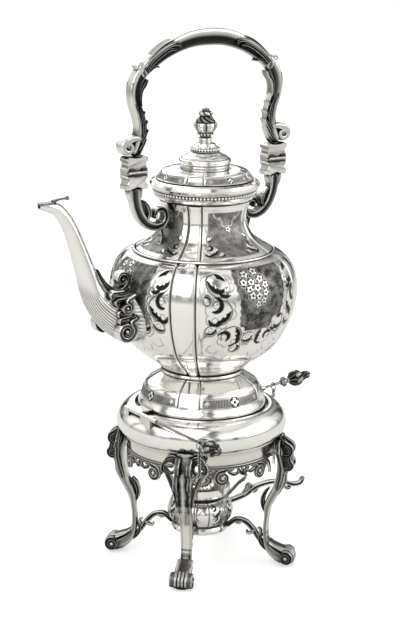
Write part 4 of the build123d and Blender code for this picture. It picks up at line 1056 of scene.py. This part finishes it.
BRACKET_LEAVES = [
    ([(47.0, 303.0), (41.4, 303.0), (37.0, 300.2), (34.4, 295.8)], [2.4, 2.6, 2.2, 1.4],
     3.4, 0.4, 33, 0.25, 3),
    ([(45.8, 300.6), (43.2, 294.6), (42.6, 288.4), (44.8, 282.6)], [2.0, 2.2, 2.2, 2.6],
     3.2, 0.45, 37, 0.35, 3),
    ([(62.2, 323.0), (57.8, 317.4), (56.2, 311.6), (58.4, 306.2)], [0.8, 1.7, 1.6, 0.8],
     5.4, 0.25, 30, 0, 0),
    ([(74.6, 335.4), (74.4, 329.4), (73.2, 323.4)], [1.0, 1.6, 0.6], 4.4, 0.2, 24, 0, 0),
    ([(64.2, 335.4), (64.6, 330.0), (64.8, 325.0)], [1.0, 1.6, 0.6], 4.4, 0.2, 24, 0, 0),
]
HINGE_SIDES = (("rear", 0, 1), ("front", 180, -1))
for name, half_turn, facing in HINGE_SIDES:
    place = turned_about_axis(half_turn)
    lower = [(SOCKET_X + x, SOCKET_LOW + z) for x, z in LOWER_SOCKET]
    x_mid = facing * SOCKET_X
    parts = [
        scroll_bar(BRACKET_PATH, BRACKET_WIDTHS, 5.2, 0.6, channel_at=0.1, channel_wide=0.52, count=111,
                   place=place),
        ball((facing * 49.6, 0, 308.8), (2.2, 5.4, 2.2)),
        *scroll_rows(BRACKET_LEAVES, place=place),
        block(lower, SOCKET_DEPTH, place, tarnish_and_shade=socket_shade),
        rod((x_mid - 3, HINGE_Y, HINGE_Z), (x_mid + 3, HINGE_Y, HINGE_Z), 1.2, tarnish_and_shade=0.45),
        slot_bar(x_mid - 3, x_mid + 3, 343.6, 346.9, 0.7, -6.4),
        slot_bar(x_mid - 8.9, x_mid + 8.9, 343.9, 345.0, 0.5, -6.0),
    ]
    add_cast("bracket_scroll_" + name, parts, "kettle", ["bracket_" + name])


# The bail is cast in silver: an arched grip with a broad bright top, and two shoulders with leaves,
# a volute and the upper hinge block. It swings on two pins beside the bone washers.
GRIP_HALF = [(16.0, 451.6), (30.0, 447.7), (40.0, 443.4), (50.0, 437.6), (59.0, 430.6), (65.0, 424.0)]
GRIP_PATH = [(-x, z) for x, z in reversed(GRIP_HALF)] + [(0.0, 452.8)] + GRIP_HALF
GRIP_WIDTHS = [3.6, 5.2, 5.8, 6.1, 6.5, 6.9, 7.1, 6.9, 6.5, 6.1, 5.8, 5.2, 3.6]
GRIP_LEAVES = [
    ([(64.0, 429.0), (56.0, 437.0), (47.0, 443.4), (39.0, 447.4), (31.0, 448.6), (27.0, 445.8)],
     [1.4, 2.2, 2.4, 2.3, 2.0, 0.8], 6.0),
    ([(60.6, 427.6), (53.0, 435.2), (45.0, 440.8), (37.4, 444.2), (31.6, 444.0)],
     [1.2, 1.8, 1.8, 1.5, 0.6], 6.0),
    ([(58.0, 437.0), (50.0, 443.4), (42.0, 448.6), (34.0, 452.2)], [1.0, 1.6, 1.5, 0.6], 5.8),
    ([(56.4, 428.0), (50.6, 431.2), (47.0, 430.4)], [0.8, 1.3, 0.5], 4.6),
]
grip_parts = [scroll_bar(GRIP_PATH, GRIP_WIDTHS, 4.8, 0.6, channel_at=-0.36, channel_wide=0.52, count=148,
                         around=36, blunt=0.45, shade=0.12)]
for hand in (-1, 1):
    for leaf_line, widths, depth in GRIP_LEAVES:
        grip_parts.append(scroll_bar([(hand * x, z) for x, z in leaf_line], widths, depth, 0.45, count=52,
                                     blunt=0.8, shade=0.6))
add_cast("bail_arch", grip_parts, "bail", ["bail_grip"])

ARM_PATH = [
    (70.6, 360.0), (66.0, 369.0), (63.6, 379.0), (65.4, 391.0), (69.0, 401.0), (70.4, 410.0),
    (68.6, 419.0), (63.6, 427.0), (56.4, 433.0),
]
ARM_WIDTHS = [4.6, 5.0, 5.0, 4.9, 4.8, 4.9, 5.2, 5.2, 3.6]
UPPER_LOW = HINGE_Z + 0.3
# A tooth is its top level and outer place, and a leaf its path, half widths and half depth.
ARM_TEETH = [(396.0, 60.6), (388.6, 58.2), (381.2, 57.6), (374.0, 59.4)]
ARM_LEAVES = [
    ([(68.6, 372.6), (66.6, 380.0), (66.8, 388.0), (69.2, 396.6), (71.0, 403.0)],
     [1.4, 1.9, 1.8, 1.3, 0.4], 5.8),
    ([(63.6, 374.0), (62.4, 382.0), (63.6, 390.0), (66.8, 398.4)], [1.0, 1.5, 1.3, 0.4], 5.7),
    ([(59.0, 421.6), (61.2, 417.6), (64.2, 413.4), (65.6, 406.0), (64.6, 400.0)],
     [0.6, 1.7, 1.5, 1.1, 0.4], 5.7),
    ([(73.0, 420.0), (73.6, 411.0), (71.6, 402.0)], [0.7, 1.1, 0.5], 5.6),
]
for name, half_turn, facing in HINGE_SIDES:
    place = turned_about_axis(half_turn)
    upper = [(SOCKET_X + x, UPPER_LOW + z) for x, z in UPPER_SOCKET]
    x_mid = facing * SOCKET_X
    roll = [(64.6, 374.0), (70.0, 374.6)] + volute(76.8, 367.6, 5.6, 98, -470, 0.3)
    parts = [
        scroll_bar(ARM_PATH, ARM_WIDTHS, 4.9, 0.6, channel_at=0.40, channel_wide=0.46, count=141,
                   around=36, place=place, blunt=0.45, shade=0.12),
        scroll_bar(roll, [1.6, 2.4] + tapered(3.0, 1.3, 13), 5.6, 0.06, count=96, place=place),
        ball((facing * 76.8, 0, 367.6), (1.9, 5.8, 1.9)),
        block(upper, SOCKET_DEPTH, place, tarnish_and_shade=socket_shade),
        scroll_bar([(60.6, 423.0), (63.0, 427.6), (65.2, 431.0), (67.6, 432.4), (69.0, 430.4)],
                   [3.0, 3.0, 2.4, 1.8, 1.0], 4.8, 0.3, count=37, place=place),
        ball((facing * 66.8, 0, 431.4), (3.2, 4.9, 3.2)),
    ]
    for k, (top_z, out_x) in enumerate(ARM_TEETH):
        tooth = [(out_x + 7.6, top_z - 11.0), (out_x + 4.0, top_z - 6.0), (out_x + 0.4, top_z)]
        parts.append(scroll_bar(tooth, [1.6, 1.7, 0.5], 5.0 + 0.15 * k, 0.5, count=30, place=place,
                                shade=0.3, blunt=0.8))
    parts += [scroll_bar(leaf_line, widths, depth, 0.4, count=44, place=place, shade=0.6, blunt=0.8)
              for leaf_line, widths, depth in ARM_LEAVES]
    for x0, x1 in ((x_mid - 8.0, x_mid - 3.3), (x_mid + 3.3, x_mid + 8.0)):
        parts.append(rod((x0, HINGE_Y, HINGE_Z), (x1, HINGE_Y, HINGE_Z), 1.2, tarnish_and_shade=0.45))
        parts.append(slot_bar(x0, x1, UPPER_LOW + 0.1, UPPER_LOW + 2.8, 0.7, -6.4))
    add_cast("bail_shoulder_cast_" + name, parts, "bail", ["bail_shoulder_" + name])


# Each leg is cast: a broad scrolled knee with pierced wings, a narrow shaft with raised edges, a leaf
# at the ankle and a rolled foot. The four are soldered to the band at equal quarters.
LEG_TURNS = {"front": 225.0, "right": 315.0, "back": 45.0, "left": 135.0}
# Each station is the outer point, the inner point and the half width.
LEG_STATIONS = [
    (69.6, 113.6, 64.9, 113.2, 6.4), (71.4, 108.8, 64.8, 108.0, 5.2), (74.0, 105.0, 65.0, 103.0, 5.0),
    (79.0, 101.2, 66.4, 97.0, 5.8), (80.1, 95.2, 67.0, 92.0, 6.8), (78.2, 88.8, 66.8, 86.0, 7.0),
    (75.4, 82.6, 66.0, 80.0, 6.8), (74.8, 75.0, 64.6, 73.5, 6.0), (71.6, 68.0, 62.2, 66.6, 5.6),
    (67.2, 60.0, 58.8, 59.8, 5.2), (62.8, 51.6, 56.4, 52.0, 4.9), (60.6, 43.0, 56.8, 43.0, 4.6),
    (59.8, 35.0, 56.2, 36.0, 4.5), (59.9, 28.0, 56.0, 27.0, 4.6), (61.4, 21.4, 56.8, 19.0, 4.9),
    (64.8, 16.4, 58.8, 12.4, 5.4), (69.4, 13.4, 63.0, 6.8, 5.8), (74.6, 12.2, 68.6, 2.8, 6.0),
    (79.4, 12.0, 74.6, 0.6, 5.8), (83.0, 9.4, 78.4, 0.3, 5.2), (83.6, 6.2, 80.4, 2.4, 4.4),
]


def leg_body(place):
    """The leg as squared ellipses between its outer and inner lines.

    Its outer face has raised edges, a drop on the knee and a fluted toe, as relief across the width.
    """
    rows, around = 190, 52
    run = smooth_run(LEG_STATIONS, rows)
    outer, inner, half = run[:, :2], run[:, 2:4], run[:, 4:5]
    centre, reach = (outer + inner) / 2, (outer - inner) / 2
    t = np.linspace(0, 2 * pi, around, endpoint=False)[None, :]
    a, b = squared(np.cos(t), 0.5), squared(np.sin(t), 0.5)
    level = outer[:, 1:2]
    face = soft_step(0.4, 0.9, a)
    edge = line_at(np.abs(b), 0.86, 0.16)
    shaft = soft_step(74, 60, level) * soft_step(26, 31, level)
    knee = soft_step(70, 77, level) * soft_step(106, 101, level)
    toe_share = soft_step(28, 24, level)
    half = half + 0.5 * shaft
    across = b * half
    drop = np.sqrt(np.clip(1 - (across / (1.0 + 1.2 * soft_step(90, 66, level))) ** 2, 0, 1))
    drop = drop * soft_step(62.5, 64, level) * soft_step(104, 100, level)
    leaf_rows = np.abs(np.sin((level - 1.3 * np.abs(across)) * 0.42))
    flutes = np.cos(across * 2.9)
    groove = line_at(np.abs(across), 3.4, 0.8)
    height = (shaft * (0.5 * edge - 0.25 * (1 - edge)) + knee * (0.9 * drop - 0.7 * groove + 0.4 * edge)
              + 0.8 * drop * (1 - knee) * soft_step(62, 64, level) + toe_share * 0.35 * flutes)
    # The face darkens on the knee, below it and on the toe, partly for oxide and partly as painted shade,
    # with the drop left bright; the lines inside the shaft's edges and at the ankle are engraved.
    dark = np.clip(shaft * 0.55 * line_at(np.abs(b), 0.68, 0.08)
                   + knee * (1.0 * groove + (0.72 + 0.25 * (leaf_rows < 0.35)) * (1 - 0.8 * drop))
                   + soft_step(62, 66, level) * soft_step(78, 72, level) * 0.7 * (1 - drop)
                   + toe_share * (0.75 + 0.25 * (flutes < -0.2))
                   + 0.9 * line_at(level, 28.6, 0.9), 0, 1) * face
    crown = 0.5 * line_at(level, 27.0 + 1.2 * np.cos(across * 2.0), 1.0)
    # The sides under the knee darken the same way, partly for oxide and partly as painted shade.
    side_dark = 0.75 * line_at(a, 0.0, 0.6) * (1 - face) * soft_step(110, 100, level)
    dark = np.maximum(dark, side_dark)
    side_dip = 0.75 * line_at(a, 0.0, 0.45)
    size = np.linalg.norm(reach, axis=1)[:, None]
    out = a + (height + crown) * face / size
    wide = b * (half - side_dip * soft_step(112, 104, level))
    radial = centre[:, 0:1] + reach[:, 0:1] * out
    z = np.maximum(centre[:, 1:2] + reach[:, 1:2] * out, 0.0)
    points = place(np.stack([radial, wide, z], -1).reshape(-1, 3))
    return part(points, tube_faces(rows, around), dark)


KNEE_LEVELS, KNEE_LINE = (60, 72, 80, 90, 100, 113), (67.0, 68.4, 70.4, 71.6, 70.4, 68.2)


def leg_wing(outwards, hand, turned):
    """Place a flat scroll, drawn as side and height, on a leg: its radius follows the leg's line."""
    about = turned_about_axis(turned)

    def place(points):
        line = np.interp(points[:, 2], KNEE_LEVELS, KNEE_LINE)
        return about(np.stack([points[:, 1] + line + outwards, hand * points[:, 0], points[:, 2]], -1))

    return place


def boss(place, centre, tarnish_and_shade=0.0):
    """A small boss at a placed point."""
    return ball(place(np.array([centre]))[0], 1.9, 10, 14, tarnish_and_shade)


# Each scroll beside the knee is its path, its half widths and how far out it lies.
LEG_WING = [
    ([(20.4, 107.6), (16.4, 101.4), (12.4, 93.4), (9.0, 84.6), (7.0, 76.0), (6.2, 69.0)],
     [1.0, 1.5, 1.5, 1.5, 1.2, 0.5], 0.0),
    ([(17.4, 104.0), (13.6, 97.4), (10.2, 89.4), (7.4, 80.4), (6.0, 73.0)],
     [0.5, 1.0, 1.1, 1.1, 0.5], 0.5),
    (volute(12.4, 104.6, 6.4, -40, 400, 0.62, 16), [1.0] + tapered(1.8, 1.1, 15) + [0.8], 0.6),
    ([(17.6, 108.0), (14.6, 112.4), (9.6, 113.6), (5.4, 110.8), (3.2, 105.4)],
     [0.8, 1.4, 1.7, 1.6, 1.0], 0.8),
    ([(5.6, 109.0), (4.4, 102.0), (3.9, 95.0), (4.6, 89.6)] + volute(7.4, 87.6, 2.9, 160, 330, 0.35, 8),
     [0.9, 1.4, 1.4, 1.3] + tapered(1.2, 0.7, 9), 1.3),
    ([(3.6, 84.6), (3.1, 78.4), (2.5, 71.6), (1.8, 65.6)], [1.1, 1.3, 1.1, 0.6], 1.9),
]
TOE_CURL = volute(77.0, 7.6, 5.6, 120, -560, 0.22)
KNEE_CURL = [(69.8, 113.0), (73.4, 112.6)] + volute(74.4, 104.4, 6.2, 80, -520, 0.25)
HOOK = [(78.6, 100.0)] + volute(76.4, 91.6, 4.6, 60, -470, 0.3)
TOE_RIB = [(72.0, 15.4), (77.6, 14.2), (82.4, 10.6), (83.4, 6.2), (81.2, 2.4)]
TOE_TOP = [(60.6, 20.6), (64.6, 16.8), (69.6, 13.6), (75.0, 10.6), (79.4, 7.6)]
LEG_PLATE = [(-6.8, 116.4), (-6.0, 114.2), (-3.4, 112.9), (0, 112.4), (3.4, 112.9), (6.0, 114.2),
             (6.8, 116.4), (3.2, 117.2), (0, 116.6), (-3.2, 117.2)]
LEG_LEAVES = [
    ([(58.4, 45.0), (55.6, 51.0), (55.0, 57.6), (57.0, 64.0), (60.6, 69.0)], [0.6, 1.6, 2.0, 1.8, 0.7],
     3.2, 0.4, 37, 0.3, 0),
    ([(60.4, 12.0), (56.4, 15.4), (53.4, 20.0), (54.0, 24.6), (56.6, 25.4)], [1.8, 1.9, 1.6, 1.2, 0.6],
     3.4, 0.35, 37, 0.25, 0),
]
for name, turned in LEG_TURNS.items():
    about = turned_about_axis(turned)
    parts = [leg_body(about)]

    def beside(path, widths, depth, groove, side_y, shade, **more):
        """A scroll bar on this leg, moved sideways."""
        return scroll_bar(path, widths, depth, groove, place=turned_about_axis(turned, side_y), shade=shade,
                          **more)

    for hand in (-1, 1):
        parts += [scroll_bar(line, widths, 1.9, 0.5, count=59, place=leg_wing(outwards, hand, turned),
                             shade=0.84, blunt=0.8) for line, widths, outwards in LEG_WING]
        parts += [
            beside(TOE_CURL, tapered(2.0, 1.1, 13), 3.3, 0.55, hand * 7.1, 0.75, count=81, blunt=0.8),
            boss(about, (77.0, hand * 8.6, 7.6), 0.3),
            beside(KNEE_CURL, [0.8, 1.3] + tapered(2.0, 0.9, 13), 2.4, 0.4, hand * 5.0, 0.78, count=81,
                   blunt=0.8),
            beside(HOOK, [0.9] + tapered(1.8, 0.9, 13), 2.2, 0.4, hand * 6.0, 0.8, count=67, blunt=0.8),
        ]
    drum_ends = about(np.array([[77.2, -7.2, 7.4], [77.2, 7.2, 7.4]]))
    parts.append(rod(*drum_ends, 5.9, tarnish_and_shade=0.72))
    parts += [beside(TOE_RIB, [0.6, 1.0, 1.1, 1.0, 0.5], 1.1, 0.0, side_y, 0.35, count=37, blunt=0.9)
              for side_y in (-4.4, -1.5, 1.5, 4.4)]
    parts.append(scroll_bar(TOE_TOP, [1.6, 2.8, 4.2, 5.0, 4.6], 7.6, 0.3, channel_wide=0.2, count=52,
                            around=36, place=about, shade=0.8, blunt=0.95))
    parts.append(block(LEG_PLATE, 1.6, leg_wing(0.4, 1, turned), 0.06, 8))
    parts += scroll_rows(LEG_LEAVES, place=about)
    add_cast("leg_cast_" + name, parts, "stand", ["leg_" + name])


# Between the legs hang four pierced aprons of cast scrolls, and four scroll stretchers run from the
# ankles to the ring that holds the burner.
def wrapped(middle, radius=63.0):
    """Wrap a flat drawing on the band: across becomes turn, depth becomes distance outwards."""
    def place(points):
        t = radians(middle) + points[:, 0] / radius
        reach = radius - points[:, 1]
        return np.stack([reach * np.cos(t), reach * np.sin(t), points[:, 2]], -1)

    return place


APRON_MIDDLE = [
    ([(-38.4, 102.4), (-20, 102.5), (0, 102.3), (20, 102.5), (38.4, 102.4)], [1.5] * 5, 1.25, 0.1,
     67, 0.74, 0),
    ([(-5.6, 101.6), (-3.0, 97.4), (0, 95.6), (3.0, 97.4), (5.6, 101.6)], [1.2, 1.6, 1.9, 1.6, 1.2],
     1.35, 0.35, 37, 0.74, 0),
]
APRON_CURL = [
    ([(14.6, 101.8)] + volute(19.0, 93.6, 6.6, 105, -600, 0.2), [1.0] + tapered(2.0, 0.8, 13), 1.5, 0.35,
     96, 0.74, 0),
]
APRON_SIDE = [
    ([(3.0, 98.0), (7.8, 95.8), (12.4, 97.4), (15.4, 101.0)], [1.2, 1.6, 1.6, 1.2], 1.3, 0.35, 37, 0.74, 2),
    ([(24.6, 100.4), (28.0, 96.8), (26.6, 93.6)], [1.1, 1.3, 0.6], 1.3, 0.3, 27, 0.74, 0),
    ([(26.0, 101.8), (31.6, 99.2), (36.2, 93.2), (38.2, 86.2)], [1.2, 1.6, 1.7, 0.9], 1.3, 0.35, 44, 0, 0),
    ([(8.4, 101.8), (11.2, 99.6), (13.6, 101.4)], [0.8, 1.0, 0.7], 1.2, 0.1, 24, 0.74, 0),
]
for name, middle in PANEL_SIDES.items():
    place = wrapped(middle)
    parts = scroll_rows(APRON_MIDDLE, place=place) + [boss(place, (0.0, 0.0, 99.9))]
    for hand in (-1, 1):
        def mirrored(points, hand=hand):
            return place(points * np.array([hand, 1, 1]))

        parts += scroll_rows(APRON_CURL, place=mirrored) + [boss(mirrored, (19.0, 0.0, 93.6))]
        parts += scroll_rows(APRON_SIDE, place=mirrored)
    add_cast("apron_scrolls_" + name, parts, "stand", ["apron_" + name])

STRETCHER = [
    ([(55.8, 17.2), (51.0, 23.4), (46.4, 30.4), (39.6, 36.2), (32.4, 37.2), (27.0, 33.6), (24.0, 30.6)],
     [2.0, 2.1, 2.4, 2.4, 2.3, 2.1, 1.8], 2.5, 0.5, 81, 0.68, 0),
    ([(48.4, 29.6), (45.6, 26.2), (42.0, 25.8), (41.2, 28.4)], [1.2, 1.5, 1.2, 0.6], 2.1, 0.2, 30, 0, 0),
    ([(50.2, 23.6), (53.4, 26.4), (53.2, 30.0), (50.6, 31.2)], [1.2, 1.5, 1.2, 0.6], 2.1, 0.2, 30, 0, 0),
    ([(38.0, 37.0), (34.2, 33.8), (30.6, 34.6)], [0.8, 1.1, 0.6], 2.1, 0.2, 27, 0, 0),
]
for name, turned in LEG_TURNS.items():
    add_cast("stretcher_scroll_" + name, scroll_rows(STRETCHER, place=turned_about_axis(turned)), "stand",
             ["stretcher_" + name])


# The spirit burner is a small bowl like the kettle's, with a gallery collar, a cotton wick under a
# snuffer cap, and a long scrolled handle that reaches out past the right leg.
RESERVOIR_OUTLINE = [(17.0, 29.4), (22.4, 34.0), (27.0, 39.2), (28.6, 45.0), (27.2, 51.6), (23.2, 56.6),
                     (19.4, 58.6), (19.0, 60.4)]
RESERVOIR_SCROLLS = [(-8.6, 50.6, 4.2, 1, 0), (-7.6, 42.2, 4.2, 1, 20), (8.6, 50.6, 4.2, -1, 0),
                     (7.6, 42.2, 4.2, -1, 20), (0, 37.6, 3.4, 1, 60)]
RESERVOIR_DAISIES = [(-2.2, 51.0, 2.2), (2.4, 49.4, 2.2), (0.0, 45.8, 1.9)]


def burner_relief(angles, levels, lengths, radii):
    """Four plain lobes and four chased fields on the reservoir."""
    local = np.mod(angles + 45 - 14, 90) - 45
    side, groove = groove_lines(local, radii, 13.0, 0.5)
    x = np.radians(local) * radii
    field = soft_step(9.0, 8.0, np.abs(x)) * soft_step(37, 38, levels) * soft_step(56, 55, levels)
    drawn = (0 * x, 0 * x, 0.7 * field)
    for cx, cz, size, hand, lean in RESERVOIR_SCROLLS:
        scroll = chased_scroll(x - cx, levels - cz, size, size, "spiral", hand, lean)
        drawn = overlay(drawn, scroll, 0.7)
    for cx, cz, size in RESERVOIR_DAISIES:
        drawn = overlay(drawn, daisy(x - cx, levels - cz, size, 6), 0.7)
    height, dark, stipple = drawn
    calm = soft_step(0.5, 1.5, side) * soft_step(34.5, 36, levels)
    return (height * calm - 0.5 * groove, np.maximum(dark * calm, np.clip(groove * 1.15, 0, 1)),
            stipple * calm)


reservoir = spun_sheet(RESERVOIR_OUTLINE, 0, 360, columns=400, rows=72, relief=burner_relief, wall=1.0)
add_piece("burner_bowl", [reservoir], "burner", polished, ["burner_reservoir"])
BURNER_HANDLE = [
    ([(26.6, 45.4), (38.0, 46.4), (48.0, 48.6), (57.0, 52.8), (66.0, 54.4), (78.0, 54.4),
      (90.9, 51.6), (101.0, 47.8), (107.6, 48.2), (111.0, 52.0)],
     [2.5, 2.5, 2.6, 2.6, 2.3, 2.2, 2.1, 2.1, 2.1, 1.8], 2.4, 0.5, 141, 0.5, 0),
    ([(44.0, 47.8), (48.8, 51.8), (51.0, 56.6), (54.2, 57.0)], [1.4, 1.8, 1.6, 0.8], 2.2, 0.2, 33, 0.6, 0),
    ([(53.0, 50.8), (57.6, 49.2), (61.0, 51.8)], [0.7, 1.3, 0.6], 2.1, 0.2, 27, 0.6, 0),
    ([(86.0, 52.4), (90.4, 47.4), (94.8, 45.2), (97.0, 47.4)], [1.3, 1.6, 1.4, 0.7], 2.2, 0.2, 30, 0.6, 0),
]
handle_end = ball((110.4, 0, 51.6), (2.2, 2.4, 2.2), 10, 14, 0.7)
add_cast("burner_handle_scroll", scroll_rows(BURNER_HANDLE) + [handle_end], "burner", ["burner_handle"])


# Both loose pins end in a cast bud knob like the finial, dark between its petals. The hinge pin's
# points to the near side, and the latch pin's points to the right and a little up.
def bud_outline(length, radius):
    """A thin neck, a full belly, a waist and a small top bead, along +Z."""
    return [(2.0, 0), (2.6, 0.08 * length), (radius, 0.30 * length), (0.94 * radius, 0.50 * length),
            (0.52 * radius, 0.70 * length), (0.50 * radius, 0.80 * length), (0.42 * radius, 0.92 * length),
            (0.9, length)]


def bud_tiers(length, depth):
    """A dark calyx, broad petals, a ring of smaller twisted ones and a top rosette."""
    tiers = [(0.06, 0.30, 9, 1.0, 0, 0.8), (0.30, 0.60, 7, 1.0, 20, 0.5), (0.60, 0.82, 8, 0.9, 40, 0.85),
             (0.82, 1.01, 6, 0.8, 0, 0.6)]
    return [(low * length, high * length, petals, share * depth, twist, shade)
            for low, high, petals, share, twist, shade in tiers]


LATCH_TILT, LATCH_X, LATCH_Z, LATCH_KNOB_X = 6.2, 63.4, 143.2, 90.0
latch_height = LATCH_Z + (LATCH_KNOB_X - LATCH_X) * np.tan(radians(LATCH_TILT))
HINGE_KNOB = (-66.5, -106.0, 142.9)
hinge_place = Matrix.Translation(HINGE_KNOB) @ Matrix.Rotation(radians(90), 4, "X")
latch_place = (Matrix.Translation((LATCH_KNOB_X, 0, latch_height))
               @ Matrix.Rotation(radians(90 - LATCH_TILT), 4, "Y"))
for name, body, length, radius, place in (
        ("hinge_pin", "hinge_pin", 19.0, 6.3, hinge_place),
        ("latch_pin", "latch_pin", 25.5, 6.5, latch_place)):
    bud = petal_bud(bud_outline(length, radius), bud_tiers(length, 1.5), place)
    add_cast(name + "_bud", [bud], body, [name + "_knob"])


# The nodes that still show are turned, drawn or pressed parts. Most are polished; the loose pins, the
# flap and the chains are dark, the washers between handle and kettle are bone, the wick is cotton.
def dull(name, light, deep, scale, stretch, rough):
    """A matt material: two colours mixed by noise drawn out along one way of the object."""
    material, tree = new_material(name)
    place = add_node(tree, "ShaderNodeTexCoord").outputs["Object"]
    drawn = add_node(tree, "ShaderNodeMapping", {"Vector": place, "Scale": stretch})
    grain = noise(tree, drawn.outputs[0], scale, 4.0)
    surface(tree, mixed(tree, grain, (*light, 1), (*deep, 1)), rough, 0.0, 0.5, 0.0003, grain)
    return material


bone = dull("bone_insulator", (0.66, 0.60, 0.50), (0.42, 0.35, 0.26), 160.0, (1, 1, 8), 0.42)
cotton = dull("cotton_wick", (0.84, 0.82, 0.75), (0.62, 0.58, 0.48), 900.0, (1, 1, 0.2), 0.9)
chain_silver = silver("chain_silver", (0.36, 0.35, 0.34), 0.2, 0.002, 2.0)
pin_silver = silver("pin_silver", (0.17, 0.165, 0.16), 0.16, 0.004, 1.6)
band_silver = silver("band_silver", (0.78, 0.76, 0.71), 0.13, 0.006, 1.2)
NODE_FINISH = {
    "insulators": bone, "wick": cotton, "stand_band": band_silver, "spout_flap": pin_silver,
    "hinge_pin": pin_silver, "latch_pin": pin_silver, "stand_knuckles": oxidised_and_shaded,
    "kettle_knuckle": oxidised_and_shaded, "latch_guide": oxidised_and_shaded,
    "hinge_pin_chain": chain_silver, "latch_pin_chain": chain_silver, "burner_chain": chain_silver,
    "chain_eyes": chain_silver,
}
for node_name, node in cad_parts.items():
    if not node.hide_render:
        node.data.materials.clear()
        node.data.materials.append(NODE_FINISH.get(node_name, polished))
